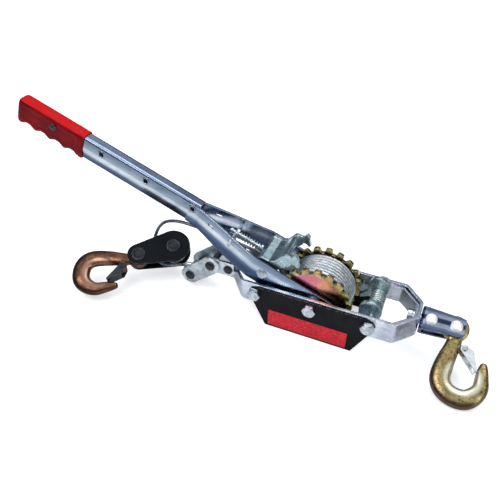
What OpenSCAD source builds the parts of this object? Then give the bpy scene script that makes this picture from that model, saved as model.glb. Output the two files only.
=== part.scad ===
// Hand ratchet cable puller: a strap frame on two bolted side plates, a rope drum between
// two ratchet wheels, a forked lever with its drive pawl, a holding pawl, a swivel hook at
// the front and a sheave block with a second hook on the returning rope at the rear.
// X points from the block to the swivel hook, Z is up, and the floor is at zero height
// under the axle.

/* [Frame] */
// Height of the axle above the feet of the side plates
axle_h = 50.5; // [50.5:0.5:56]
// Outer width over the two sides of the strap
frame_w = 82; // [80:1:90]
// Thickness of the strap
strap_t = 4; // [3:0.5:4.5]
// Height of the strap along its sides
strap_h = 30; // [28:1:34]
// How far the middle of the strap lies below the bolts
strap_drop = 1.5; // [0:0.5:3]
// Distance from the axle to the outer face of the front end
front_x = 131; // [129:1:140]
// Length cut off each front corner by its slanting wall
front_slant = 25; // [22:1:27]
// Radius of the strap's bends, along its middle
strap_bend = 6; // [5:0.5:8]
// Thickness of the stiffener inside the front end
stiffener_t = 3; // [2:0.5:4]
// Height of the stiffener
stiffener_h = 24; // [18:1:27]
// Distance from the axle to each end bolt
bolt_pitch = 75; // [74:1:78]
// Distance from the axle to where the sides begin to close in at the rear
lobe_x = 94; // [91:1:96]
// Distance from the axle to where the rear ears run straight again
ear_x = 116; // [112:1:119]
// Outer width over the two rear ears
ear_w = 32; // [30:1:34]
// Height of the rear ears
ear_h = 22; // [20:1:24]
// Distance from the axle to the anchor pin in the ears
anchor_x = 152; // [149:1:155]
// Distance from the axle to the rivet that ties the ears
ear_rivet_x = 126; // [124:1:130]

/* [Side plates] */
// Thickness of a side plate
plate_t = 2; // [1.5:0.5:3]
// Height of a side plate's top edge above the bolts
plate_top = 11; // [10:0.5:12]
// Half of the length of a side plate's foot
foot_half = 59; // [54:1:62]
// Radius of a side plate round its end bolts
plate_end_r = 8.5; // [7.5:0.5:9]
// Length of the red panel
panel_l = 107; // [90:1:109]
// Height of the red panel
panel_h = 26; // [20:1:28]
// Thickness of the red panel
panel_t = 0.6; // [0.4:0.1:1]
// Gap between the red panel and the foot of its plate
panel_gap = 3; // [2:0.5:6]

/* [Fasteners] */
// Diameter of the three frame bolts
bolt_d = 10; // [9:0.5:10.5]
// Size of the bolts' hexagons across the flats
bolt_af = 16; // [15:0.5:17]
// Height of a bolt head
bolt_head_h = 6.5; // [5:0.5:8]
// Height of a nut
nut_h = 8; // [6:0.5:9]
// Length of bolt that stands out of its nut
bolt_end = 3; // [1:0.5:5]
// Outer diameter of the spacer on the rear bolt
spacer_d = 14; // [13:0.5:15]
// Diameter of the anchor pin and of the rope pin
clevis_pin_d = 9; // [8:0.5:10]
// Outer diameter of the axle washers
washer_d = 22; // [18:1:26]

/* [Drum] */
// Radius over the tips of the ratchet wheels' teeth
wheel_r = 50; // [49:0.1:50.1]
// Depth of a tooth
tooth_depth = 7; // [6:0.1:7.5]
// Width of a tooth near its tip
tooth_w = 9; // [8:0.1:9.2]
// Number of teeth on each wheel
teeth = 18; // [18:1:18]
// Angle from the front of the drum to the first tooth's middle
tooth_phase = 9; // [9:1:9]
// Thickness of a ratchet wheel
wheel_t = 5; // [4:0.5:5.5]
// Distance between the inner faces of the ratchet wheels
drum_w = 43; // [42.5:0.5:44]
// Diameter of the drum's barrel
barrel_d = 40; // [30:1:50]
// Diameter of the wire rope
rope_d = 4.8; // [4:0.1:4.8]
// Radius of the outer layer of rope, to the middle of the rope
wind_r = 42.1; // [40:0.1:42.4]
// Number of loops in the outer layer of rope
wind_loops = 7; // [5:1:7]
// Distance between the loops
wind_pitch = 5.25; // [5.25:0.01:5.3]

/* [Lever] */
// Angle of the lever above the rear end of the frame
lever_angle = 20.5; // [20:0.5:24]
// Distance from the axle to the lever's end in the grip
lever_len = 464; // [440:1:470]
// Thickness of the lever's sheet
lever_t = 3; // [2.5:0.1:3.5]
// Width of the lever's channel
channel_w = 18; // [16:1:22]
// Height of the lever's channel
channel_h = 33.5; // [30:0.5:36]
// Height of the top of the channel above the line through the axle
channel_top = 23; // [21:1:25]
// Radius of the channel's top corners, along the middle of the sheet
channel_r = 3; // [2.5:0.5:4]
// Height of the strips along the channel's feet that lean inwards
hem_h = 13; // [8:1:15]
// How far these strips lean inwards
hem_in = 2.5; // [1:0.5:3]
// Height of the row of holes above the line through the axle
hole_n = 13; // [8:1:14]
// Distance from the axle to the crotch of the fork
crotch_d = 188; // [184:1:192]
// Distance from the axle to where the arms run straight
splay_d = 92; // [88:1:96]
// Distance from the middle of the frame to the middle of an arm
arm_y = 31; // [30.7:0.1:31.5]
// Half of the height of an arm beside the axle
arm_half = 17.5; // [15:0.5:18]
// Length of an arm in front of the axle
arm_nose = 30; // [26:1:32]
// Radius of the corners on an arm's front end
nose_r = 12; // [8:1:14]
// Diameter of the holes along the channel
channel_hole_d = 7; // [5:0.5:9]

/* [Grip] */
// Length of the grip
grip_l = 104.5; // [100:0.5:112]
// Height of the grip
grip_h = 39; // [38:1:44]
// Width of the grip
grip_w = 22; // [22:1:27]
// Thickness of the grip's closed outer end
grip_cap = 9; // [8:0.5:14]
// Depth of the finger hollows
finger_depth = 5; // [3:0.5:6]
// Distance between the finger hollows
finger_pitch = 23.5; // [22:0.5:24.5]
// Distance from the grip's inner end to its rivet
grip_rivet_x = 48; // [46:0.5:56]
// Diameter of the hole for the grip's rivet
grip_rivet_d = 6; // [5:0.5:7]

/* [Pawls] */
// Distance from the axle to the drive pawl's pin, along the lever
drive_d = 75; // [75:0.5:76]
// Diameter of the drive pawl's pin
pawl_pin_d = 9; // [8:0.5:10]
// Radius of a pawl round its pin
pawl_boss_r = 11; // [10:0.5:11.5]
// Thickness of each pawl's sheet
pawl_t = 5; // [4:0.5:5]
// Outer diameter of the sleeve inside each pawl
sleeve_d = 14; // [14:0.5:15]
// Angle by which the drive pawl drops to engage the teeth
drive_drop = 10; // [9:0.5:11]
// Wire diameter of the holding pawl's spring
holding_wire = 2.2; // [1.8:0.1:2.4]
// Curls of the holding pawl's spring
holding_curls = 6; // [4:1:6]
// Wire diameter of the drive pawl's spring
drive_wire = 1.6; // [1.2:0.1:1.8]
// Curls of the drive pawl's spring
drive_curls = 8; // [6:1:9]
// Outer diameter of the drive pawl's spring
drive_spring_d = 11; // [10:0.5:12]
// Diameter of the seat of the drive pawl's spring
seat_d = 17; // [14:0.5:18]

/* [Hooks] */
// Distance from a hook's rivet to the middle of its bowl
hook_reach = 61; // [59:0.5:64]
// Radius of the inside of a hook's bowl
bowl_r = 13.25; // [12.75:0.25:14]
// Thickness of a hook across its flat faces
hook_t = 15; // [13:0.5:16]
// Width of the forging at the bottom of the bowl
hook_w = 24.5; // [22:0.5:25]
// Radius of a hook's eye
eye_r = 16.5; // [15:0.5:17]
// Thickness of a hook's eye
eye_t = 11; // [10:0.5:12]
// Diameter of a hook's rivet
hook_rivet_d = 10; // [9:0.5:11]
// Sheet thickness of a safety latch
latch_t = 1.6; // [1.2:0.1:2]
// Width over a safety latch
latch_w = 19; // [18.8:0.1:19.5]
// Diameter of a latch's rivet
latch_rivet_d = 4; // [3:0.5:4.5]

/* [Swivel link] */
// Angle by which the front hook is rolled towards the floor
roll = 28.5; // [25:0.5:28.5]
// Thickness of the link's strap
link_t = 4; // [3:0.5:4.5]
// Distance between the link's two walls
link_gap = 13; // [12.6:0.1:14]
// Width of the link at the frame
link_w = 30.5; // [29:0.5:33]
// Width of the link at the hook
link_end_w = 24; // [22:1:26]
// Distance from the frame's front to the stud's rivet
stud_rivet_x = 13.5; // [13.5:0.5:16]
// Distance between the stud's rivet and the hook's rivet
link_pitch = 30; // [29.5:0.5:32]
// Diameter of the swivel stud
stud_d = 12.4; // [11:0.1:12.4]
// Diameter of the stud's rivet
stud_rivet_d = 7; // [6:0.5:8]

/* [Sheave block] */
// Place of the middle of the sheave, measured from the axle's foot
block_at = [-221, 2, 44.5];
// Distance between the block's two pins
block_pitch = 50.5; // [49:0.5:53]
// Radius of a block plate round the sheave
block_r = 24; // [22.5:0.5:25]
// Radius of a block plate round the hook's pin
block_end_r = 15.5; // [14:0.5:17]
// Thickness of a block plate
block_t = 3; // [2.5:0.5:4]
// Distance between the block's two plates
block_gap = 16; // [15.8:0.1:18]
// Radius of the sheave's rim
sheave_r = 20; // [18:0.5:20.5]
// Width of the sheave
sheave_w = 13; // [12:0.5:14]
// Radius at the bottom of the sheave's groove
groove_r = 16; // [14:0.5:17]
// Diameter of the block's two pins
block_pin_d = 10; // [9:0.5:10]

/* [Rope end] */
// Distance from the axle to the rope pin
rope_pin_x = 184; // [183:0.5:185]
// Height of the rope pin
rope_pin_z = 24.5; // [23.5:0.5:25.5]
// Width of the two plates that hold the rope's end
end_plate_w = 27; // [24:1:30]
// Thickness of these plates
end_plate_t = 3; // [2.5:0.5:3.5]
// Diameter of the ferrule on the rope's end
ferrule_d = 10; // [9:0.5:10.5]

/* [Fits] */
// Radial clearance of a part that turns on its pin
run = 0.05; // [0.03:0.01:0.08]
// Clearance round a part that is held fast
snug = 0.1; // [0.06:0.01:0.15]
// Gap between parts that pass each other
gap = 0.4; // [0.35:0.05:0.5]

/* [Hidden] */

$fn = 48;
zinc = "#c3cad2";
black = "#1b2026";
gold = "#b99a4b";
bronze = "#8a6a4c";
grey_green = "#9fb0ad";
wire = "#b9c0c2";
red = "#b3202c";

// Frame, worked out
side_y = frame_w / 2 - strap_t / 2;
inner_y = frame_w / 2 - strap_t;
ear_y = ear_w / 2 - strap_t / 2;
strap_top = strap_h / 2 - strap_drop;
strap_low = -strap_h / 2 - strap_drop;
plate_y = frame_w / 2 + plate_t;
front_in = front_x - strap_t;
swivel_z = axle_h - strap_drop;
ear_z = 1;
anchor_z = axle_h + ear_z;
ear_end_r = ear_h / 2;

// Drum, worked out
root_r = wheel_r - tooth_depth;
wheel_out = drum_w / 2 + wheel_t;
core_r = wind_r - rope_d / 2 - 0.3;
wind_half = wind_loops * wind_pitch / 2;
// Angle, from the front, at which the rope leaves the drum
leave_at = 225;
// Length of the rope's straight ends on the drum
wind_end = 6;
// Radius of the bend by which the rope dives between the lower layers
dive_r = 6;

// Lever, worked out
channel_low = channel_top - channel_h;
flange_y = channel_w / 2 - lever_t / 2;
hem_y = flange_y - hem_in;
arm_in = arm_y - lever_t / 2;
arm_out = arm_y + lever_t / 2;
grip_cover = grip_l - grip_cap;
grip_start = lever_len - grip_cover;
grip_mid = channel_top + 2 - grip_h / 2;
rivet_n = hole_n - 1;

// Places of the pawl pins, measured from the axle
drive_pin = [-drive_d * cos(lever_angle), drive_d * sin(lever_angle)];
holding_pin = [bolt_pitch, 0];
// Angle, from the front, of the gap that the drive pawl drops into
beak_at = tooth_phase + 5.5 * 360 / teeth;

// Link, worked out
link_x = front_x + 1;
// Length of the link past the hook's rivet
link_past = 10.5;
stud_rivet_at = front_x + stud_rivet_x;
hook_rivet_at = stud_rivet_at + link_pitch;
link_half = link_gap / 2 + link_t;

// Turns of the block and of the hooks about their rivets
block_turn = [-26, 5.5, -141];
front_hook_turn = -71;
rear_hook_turn = 11;

// Share of a radius at which a straight edge enters a round end
inset = 0.998;

// Route of the rope from the drum over the block's sheave to the ferrule
rope_route = [
    [-34.3, 18.4, 25.3], [-46, 18, 37], [-60, 17, 50.5], [-75, 15, 62.5], [-97, 12, 73.5],
    [-122, 8, 82.5], [-150, 4, 90.5], [-180, 1, 96.5], [-207, 1, 97.5], [-230, 5, 88.5],
    [-245, 8, 73.5], [-252, 6, 57.5], [-249, -6, 47.5], [-240, -18, 39.5], [-225, -23, 33.5],
    [-210, -15, 31.5], [-199.4, -7.1, 28.9]
];
// Steps between two points of the route
route_steps = 3;
// The ferrule's two ends
ferrule_from = [-199, -6.8, 28.8];
ferrule_to = [-184, 0, 24.5];

// ---------------------------------------------------------------- shared shapes

function unit(v) = v / norm(v);
function left(v) = [-v[1], v[0]];
function turned(v, a) = [v[0] * cos(a) - v[1] * sin(a), v[0] * sin(a) + v[1] * cos(a)];

// Points and left-hand normals along a polyline whose corners are bent to radius r
function corner(p, a, b, r, n) =
    let (s = sign(a[0] * b[1] - a[1] * b[0]), w = acos(min(1, a * b)))
    let (c = p - a * r * tan(w / 2) + s * r * left(a))
    [for (k = [0:n]) let (m = turned(left(a), s * w * k / n)) [c - s * r * m, m]];
function bent(p, r, n = 4) = concat(
    [[p[0], left(unit(p[1] - p[0]))]],
    [for (i = [1:len(p) - 2]) each corner(p[i], unit(p[i] - p[i - 1]), unit(p[i + 1] - p[i]), r, n)],
    [[p[len(p) - 1], left(unit(p[len(p) - 1] - p[len(p) - 2]))]]
);

// Sheet of thickness t bent along a polyline
module band(p, r, t) {
    q = bent(p, r);
    polygon(concat(
        [for (s = q) s[0] + s[1] * t / 2],
        [for (i = [len(q) - 1:-1:0]) q[i][0] - q[i][1] * t / 2]
    ));
}

// Smooth step from a to b in n parts
function ease(a, b, n = 6) =
    [for (k = [0:n]) [a[0] + (b[0] - a[0]) * k / n, a[1] + (b[1] - a[1]) * (1 - cos(180 * k / n)) / 2]];

// Point where a line from p touches a circle, on the side given by s
function touch(p, c, r, s) =
    let (d = norm(c - p), a = atan2(c[1] - p[1], c[0] - p[0]) + s * asin(r / d))
    c + inset * r * [cos(a + s * 90), sin(a + s * 90)];

// Flat plate with two round ends
module two_ends(l, r1, r2) {
    s = (r1 - r2) / l;
    c = sqrt(1 - s * s);
    circle(r = r1);
    translate([l, 0]) circle(r = r2);
    polygon([
        [r1 * s, -inset * r1 * c], [l + r2 * s, -inset * r2 * c],
        [l + r2 * s, inset * r2 * c], [r1 * s, inset * r1 * c]
    ]);
}

module round_rect(w, h, r) {
    square([w - 2 * r, h], center = true);
    square([w, h - 2 * r], center = true);
    for (x = [-1, 1], y = [-1, 1])
        translate([x * (w / 2 - r), y * (h / 2 - r)]) circle(r = r);
}

// Draws an outline of the XZ plane between two values of Y, seen from the near side
module across(y0, y1) {
    translate([0, y1, 0]) rotate([90, 0, 0]) linear_extrude(y1 - y0) children();
}

// Cylinder along Y
module y_rod(y0, y1, d) {
    translate([0, y0, 0]) rotate([-90, 0, 0]) cylinder(d = d, h = y1 - y0);
}

// Hexagon with chamfered corners, its seat at zero and its top at h
module hexagon(h) {
    intersection() {
        cylinder(d = bolt_af / cos(30), h = h, $fn = 6);
        cylinder(r1 = bolt_af / 2 + h * 1.2, r2 = bolt_af / 2 - 0.4, h = h);
    }
}

// Rivet along Z with low round heads outside the given half length
module rivet(half, d, head_d, head_h) {
    cylinder(d = d, h = 2 * half + 0.2, center = true);
    for (s = [-1, 1])
        translate([0, 0, s * half]) mirror([0, 0, s < 0 ? 1 : 0]) {
            cylinder(d = head_d, h = head_h * 0.45);
            translate([0, 0, head_h * 0.45])
                cylinder(d1 = head_d, d2 = head_d * 0.6, h = head_h * 0.55);
        }
}

// Closed tube through rings of points
module skin(rings) {
    m = len(rings[0]);
    n = len(rings);
    points = [for (r = rings) each r];
    walls = [for (i = [0:n - 2], j = [0:m - 1])
        each [[i * m + j, (i + 1) * m + (j + 1) % m, i * m + (j + 1) % m],
              [i * m + j, (i + 1) * m + j, (i + 1) * m + (j + 1) % m]]];
    ends = [for (j = [1:m - 2]) each [[0, j, j + 1], [(n - 1) * m, (n - 1) * m + j + 1, (n - 1) * m + j]]];
    polyhedron(points = points, faces = concat(walls, ends));
}

// Directions along a list of points
function ahead(p, i) = unit(p[min(i + 1, len(p) - 1)] - p[max(i - 1, 0)]);

// Side vector carried along the points without twisting
function carried(p, v, i = 0) =
    i == len(p) ? [] :
    let (t = ahead(p, i), w = unit(v - (v * t) * t))
    concat([w], carried(p, w, i + 1));

// Tube of diameter d and the given number of sides through the points
module tube(p, d, sides, v = [0, 0, 1]) {
    w = carried(p, v);
    skin([for (i = [0:len(p) - 1])
        let (t = ahead(p, i), a = w[i], b = cross(t, a))
        [for (k = [0:sides - 1]) p[i] + d / 2 * (cos(360 * k / sides) * a + sin(360 * k / sides) * b)]]);
}

// Curve through points, n steps between neighbours
function spline(p, n) = concat(
    [for (i = [0:len(p) - 2], k = [0:n - 1])
        let (a = p[max(i - 1, 0)], b = p[i], c = p[i + 1], d = p[min(i + 2, len(p) - 1)], t = k / n)
        0.5 * (2 * b + (c - a) * t + (2 * a - 5 * b + 4 * c - d) * t * t
               + (3 * b - 3 * c + d - a) * t * t * t)],
    [p[len(p) - 1]]
);

// Smallest distance between the skins of a tube's stretches that lie more than skip rings apart
function least_gap(p, d, skip) =
    min([for (i = [0:len(p) - 1], j = [i + skip:1:len(p) - 1]) norm(p[i] - p[j])]) - d;

// ---------------------------------------------------------------- frame

module strap_outline() {
    polygon(concat(
        [[front_x + 1, strap_low], [front_x + 1, strap_top]],
        ease([-lobe_x, strap_top], [-ear_x, ear_z + ear_h / 2]),
        [[-anchor_x, ear_z + ear_h / 2], [-anchor_x, ear_z - ear_h / 2]],
        ease([-ear_x, ear_z - ear_h / 2], [-lobe_x + 10, strap_low])
    ));
    translate([-anchor_x, ear_z]) circle(r = ear_end_r);
}

strap_path = [
    [-anchor_x - ear_end_r - 1, -ear_y], [-ear_x, -ear_y], [-lobe_x, -side_y],
    [front_x - front_slant, -side_y], [front_x - strap_t / 2, -side_y + front_slant],
    [front_x - strap_t / 2, side_y - front_slant], [front_x - front_slant, side_y],
    [-lobe_x, side_y], [-ear_x, ear_y], [-anchor_x - ear_end_r - 1, ear_y]
];

module frame_strap() {
    color(zinc) translate([0, 0, axle_h]) difference() {
        intersection() {
            translate([0, 0, -strap_h]) linear_extrude(2 * strap_h) band(strap_path, strap_bend, strap_t);
            across(-frame_w, frame_w) strap_outline();
        }
        for (x = [-bolt_pitch, 0, bolt_pitch])
            translate([x, 0, 0]) y_rod(-frame_w, frame_w, bolt_d + 2 * snug);
        translate([-anchor_x, 0, ear_z]) y_rod(-ear_w, ear_w, clevis_pin_d + 2 * snug);
        translate([-ear_rivet_x, 0, ear_z]) y_rod(-ear_w, ear_w, 8 + 2 * snug);
        translate([front_x - 2 * strap_t, 0, -strap_drop]) rotate([0, 90, 0])
            cylinder(d = stud_d + 2 * run, h = 4 * strap_t);
    }
}

module front_stiffener() {
    x = front_in - stiffener_t / 2;
    y = inner_y - stiffener_t / 2;
    s = front_slant + stiffener_t / 2;
    path = [
        [x - s - 10, -y], [x - s + strap_t - 1, -y], [x, -y + s - strap_t + 1],
        [x, y - s + strap_t - 1], [x - s + strap_t - 1, y], [x - s - 10, y]
    ];
    color(zinc) translate([0, 0, axle_h - strap_drop]) difference() {
        intersection() {
            translate([0, 0, -stiffener_h / 2]) linear_extrude(stiffener_h)
                band(path, strap_bend, stiffener_t);
            translate([0, 0, -stiffener_h / 2]) linear_extrude(stiffener_h) difference() {
                translate([0, -frame_w]) square([2 * front_x, 2 * frame_w]);
                band(strap_path, strap_bend, strap_t + 0.1);
            }
        }
        rotate([0, 90, 0]) cylinder(d = stud_d + 2 * run, h = 2 * front_x);
    }
}

module side_plate_outline() {
    low = -axle_h;
    for (s = [-1, 1]) translate([s * bolt_pitch, 0]) circle(r = plate_end_r);
    a = touch([foot_half, low], [bolt_pitch, 0], plate_end_r, -1);
    b = touch([bolt_pitch - 5, plate_top], [bolt_pitch, 0], plate_end_r, 1);
    polygon([
        [foot_half, low], a, [bolt_pitch, 0], b, [bolt_pitch - 5, plate_top],
        [5 - bolt_pitch, plate_top], [-b[0], b[1]], [-bolt_pitch, 0], [-a[0], a[1]], [-foot_half, low]
    ]);
}

module side_plate(y0) {
    color(black) translate([0, 0, axle_h]) difference() {
        across(y0, y0 + plate_t) side_plate_outline();
        for (x = [-bolt_pitch, 0, bolt_pitch])
            translate([x, 0, 0]) y_rod(-frame_w, frame_w, bolt_d + 2 * snug);
    }
}

module near_side_plate() { side_plate(-plate_y); }

module far_side_plate() { side_plate(plate_y - plate_t); }

module label_panel() {
    color(red) translate([-1.5, 0, panel_gap + panel_h / 2])
        across(-plate_y - panel_t, -plate_y) round_rect(panel_l, panel_h, 2);
}

// Bolt along Y with its head on the near side
module frame_bolt() {
    translate([0, -plate_y, 0]) rotate([90, 0, 0]) hexagon(bolt_head_h);
    y_rod(-plate_y, plate_y + nut_h + bolt_end, bolt_d);
}

module axle_bolt() {
    color(zinc) translate([0, 0, axle_h]) frame_bolt();
}

module end_bolts() {
    color(zinc) for (s = [-1, 1]) translate([s * bolt_pitch, 0, axle_h]) frame_bolt();
}

module frame_nuts() {
    color(zinc) for (x = [-bolt_pitch, 0, bolt_pitch])
        translate([x, plate_y, axle_h]) difference() {
            rotate([-90, 0, 0]) hexagon(nut_h);
            y_rod(-1, nut_h + 1, bolt_d + 2 * run);
        }
}

module ring_along_y(y0, y1, d, bore) {
    difference() {
        y_rod(y0, y1, d);
        y_rod(y0 - 1, y1 + 1, bore);
    }
}

module rear_spacer() {
    color(zinc) translate([-bolt_pitch, 0, axle_h])
        ring_along_y(-inner_y + snug, inner_y - snug, spacer_d, bolt_d + 2 * snug);
}

module axle_washers() {
    color(zinc) translate([0, 0, axle_h]) for (s = [0, 1]) mirror([0, s, 0]) {
        ring_along_y(arm_out + gap / 2, inner_y - snug, washer_d, bolt_d + 2 * snug);
        ring_along_y(wheel_out + gap / 2, arm_in - gap / 2, washer_d, bolt_d + 2 * snug);
    }
}

module ear_rivet() {
    color(black) translate([-ear_rivet_x, 0, anchor_z]) rotate([90, 0, 0])
        rivet(ear_w / 2, 8, 13, 3);
}

// ---------------------------------------------------------------- drum

module tooth_outline() {
    r = 2.6;
    h = tooth_w / 2;
    polygon([
        [root_r - 2, -h - 1.2], [root_r, -h - 0.9], [wheel_r - r, 0.03 - h],
        [wheel_r - 0.02, r - h], [wheel_r - 0.02, h - r], [wheel_r - r, h - 0.03],
        [root_r, h + 0.9], [root_r - 2, h + 1.2]
    ]);
    for (s = [-1, 1]) translate([wheel_r - r, s * (h - r)]) circle(r = r);
}

module wheel(y0) {
    color(gold) translate([0, 0, axle_h]) difference() {
        across(y0, y0 + wheel_t) {
            circle(r = root_r, $fn = 96);
            for (i = [0:teeth - 1]) rotate(tooth_phase + i * 360 / teeth) tooth_outline();
        }
        y_rod(-frame_w, frame_w, bolt_d + 2 * run);
    }
}

module near_ratchet_wheel() { wheel(-wheel_out); }

module far_ratchet_wheel() { wheel(wheel_out - wheel_t); }

module drum_barrel() {
    color(gold) translate([0, 0, axle_h])
        ring_along_y(-drum_w / 2, drum_w / 2, barrel_d, bolt_d + 2 * run);
}

// The lower layers of rope, with the pocket in which the outer layer begins
module rope_inner_layers() {
    a = leave_at;
    color(wire) translate([0, 0, axle_h]) difference() {
        ring_along_y(-drum_w / 2 + snug, drum_w / 2 - snug, 2 * core_r, barrel_d + 2 * snug);
        rotate([0, -a, 0]) translate([wind_r - dive_r - wind_end - 2, -wind_half - rope_d / 2 - 0.5, -3.5])
            cube([20, rope_d + 1, 14]);
    }
}

// Outer layer: dives out of the lower layers, winds across the drum and leaves as a tangent
function on_drum(a, y, r = wind_r) = [r * cos(a), y, r * sin(a)];
dive = [for (k = [0:4])
    let (c = wind_r - dive_r, w = 90 * k / 4)
    [c + dive_r * sin(w), dive_r * cos(w)]];
function dive_point(u, v) =
    let (q = turned([u, v], leave_at)) [q[0], -wind_half, q[1]];
wind_points = concat(
    [dive_point(wind_r - dive_r - wind_end, dive_r), dive_point(wind_r - dive_r - 0.5, dive_r)],
    [for (k = [1:3]) dive_point(dive[k][0], dive[k][1])],
    [for (i = [0:24 * wind_loops])
        on_drum(leave_at - 15 * i, -wind_half + wind_pitch * i / 24)],
    [on_drum(leave_at, wind_half) + wind_end * [sin(leave_at), 0, -cos(leave_at)]]
);
echo(rope_winding_least_gap = least_gap(wind_points, rope_d, 16));

module rope_winding() {
    color(wire) translate([0, 0, axle_h]) tube(wind_points, rope_d, 6, [0, 1, 0]);
}

// ---------------------------------------------------------------- lever

// Lever's own frame: X out along the lever, Z up from its top face, the axle at the origin
module in_lever() {
    translate([0, 0, axle_h]) rotate([0, -lever_angle, 180]) children();
}

module channel_section() {
    top = channel_top - lever_t / 2;
    foot = channel_low + hem_h;
    band([[-hem_y, channel_low + 0.4], [-flange_y, foot], [-flange_y, top],
          [flange_y, top], [flange_y, foot], [hem_y, channel_low + 0.4]], channel_r, lever_t);
}

module arm_outline() {
    difference() {
        polygon(concat(
            [[crotch_d + 14, channel_low], [crotch_d + 14, channel_top - channel_r]],
            [[crotch_d, channel_top - channel_r]],
            ease([crotch_d - 14, channel_top - channel_r], [splay_d, arm_half]),
            [[-arm_nose, arm_half], [-arm_nose, -arm_half]],
            ease([splay_d + 30, -arm_half], [crotch_d + 10, channel_low])
        ));
        for (s = [-1, 1]) translate([-arm_nose, s * arm_half]) difference() {
            square(2 * nose_r, center = true);
            translate([nose_r, -s * nose_r]) circle(r = nose_r);
            translate([nose_r, -2 * nose_r]) square(4 * nose_r);
            translate([-nose_r, s > 0 ? -4 * nose_r - nose_r : nose_r]) square(4 * nose_r);
        }
    }
}

// Rod of the drive pawl's spring, and the disc that the spring bears on
rod_d = 6;
seat_t = 2;

// Plate across the crotch that carries the rod of the drive pawl's spring
bridge_d = 132;
bridge_n = 9;
arm_slope = (arm_y - flange_y) / (crotch_d - splay_d);
bridge_half = arm_y - arm_slope * (bridge_d - splay_d) - lever_t / 2 - 1;

module lever() {
    path = [
        [crotch_d + 14, flange_y], [crotch_d, flange_y], [splay_d, arm_y], [-arm_nose - 1, arm_y]
    ];
    color(zinc) in_lever() difference() {
        union() {
            translate([crotch_d, 0, 0]) rotate([90, 0, 90])
                linear_extrude(lever_len - crotch_d) channel_section();
            for (s = [0, 1]) mirror([0, s, 0]) intersection() {
                translate([0, 0, -40]) linear_extrude(100) band(path, 12, lever_t);
                across(0, frame_w) arm_outline();
            }
        }
        y_rod(-frame_w, frame_w, bolt_d + 2 * run);
        translate([drive_d, 0, 0]) y_rod(-frame_w, frame_w, pawl_pin_d + 2 * snug);
        for (d = [197.5, 270, 340]) translate([d, 0, hole_n])
            y_rod(-frame_w, frame_w, channel_hole_d);
        translate([grip_start + grip_rivet_x, 0, rivet_n])
            y_rod(-frame_w, frame_w, grip_rivet_d + 2 * snug);
        for (d = [-2.5, 2.5]) translate([165 + d, 0, 9]) y_rod(-frame_w, frame_w, 4);
        translate([165, 0, 9]) cube([5, 2 * frame_w, 3.9], center = true);
        translate([bridge_d, 0, bridge_n]) cube([3.4, 2 * frame_w, 12.4], center = true);
    }
}

module grip_outline() {
    low = grip_mid - grip_h / 2;
    difference() {
        translate([grip_l / 2, grip_mid]) round_rect(grip_l, grip_h, 8);
        for (i = [0:3]) let (r = (finger_pitch * finger_pitch / 4 + finger_depth * finger_depth)
                              / (2 * finger_depth))
            translate([grip_l / 2 + finger_pitch * (i - 1.5), low + finger_depth - r])
                circle(r = r - 0.3);
    }
}

module lever_grip() {
    w = channel_w / 2 + snug;
    color(red) in_lever() difference() {
        intersection() {
            translate([grip_start, 0, 0]) across(-grip_w / 2, grip_w / 2) grip_outline();
            translate([grip_start - 1, 0, grip_mid]) rotate([90, 0, 90])
                linear_extrude(grip_l + 2) round_rect(grip_w, grip_h, 7);
        }
        translate([grip_start - 1, -w, channel_low - snug])
            cube([grip_cover + 1 + snug, 2 * w, channel_h + 2 * snug]);
        translate([grip_start + grip_rivet_x, 0, rivet_n])
            y_rod(-frame_w, frame_w, grip_rivet_d + 2 * snug);
    }
}

module grip_rivet() {
    color(zinc) in_lever() translate([grip_start + grip_rivet_x, 0, rivet_n]) rotate([90, 0, 0])
        difference() {
            rivet(grip_w / 2, grip_rivet_d, grip_rivet_d + 4, 1);
            cylinder(d = grip_rivet_d - 2.4, h = 2 * grip_w, center = true);
        }
}

module drive_pawl_pin() {
    color(zinc) in_lever() translate([drive_d, 0, 0]) rotate([90, 0, 0])
        rivet(arm_out, pawl_pin_d, pawl_pin_d + 5, 2);
}

module spring_bridge() {
    color(zinc) in_lever() difference() {
        union() {
            translate([bridge_d - 1.5, -bridge_half - lever_t, bridge_n - 6])
                cube([3, 2 * (bridge_half + lever_t), 12]);
            translate([bridge_d - 1.5 - seat_t, 0, bridge_n]) rotate([0, 90, 0])
                cylinder(d = seat_d, h = seat_t + 1);
        }
        translate([bridge_d - 9, 0, bridge_n]) rotate([0, 90, 0])
            cylinder(d = rod_d + 2 * run, h = 20);
    }
}

// Spring of the drive pawl: its rod runs along the lever through the bridge
rod_from = drive_d + pawl_boss_r + 5.7;
spring_from = rod_from + 3.4;
spring_to = bridge_d - 1.5 - seat_t - snug;

module spring_rod() {
    color(zinc) in_lever() translate([rod_from, 0, bridge_n]) rotate([0, 90, 0]) {
        cylinder(d = drive_spring_d + 1, h = 3);
        cylinder(d = rod_d, h = bridge_d - rod_from + 9);
        translate([0, 0, bridge_d - rod_from + 6]) cylinder(d = rod_d + 3, h = 2);
    }
}

function coil(r, length, curls, n = 8) =
    [for (i = [0:n * curls]) [r * cos(360 * i / n), r * sin(360 * i / n), length * i / (n * curls)]];

drive_coil = coil((drive_spring_d - drive_wire) / 2, spring_to - spring_from - drive_wire, drive_curls);
echo(drive_pawl_spring_least_gap = least_gap(drive_coil, drive_wire, 6));

module drive_pawl_spring() {
    color(wire) in_lever() translate([spring_from + drive_wire / 2, 0, bridge_n]) rotate([0, 90, 0])
        tube(drive_coil, drive_wire, 6);
}

// ---------------------------------------------------------------- pawls

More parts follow.
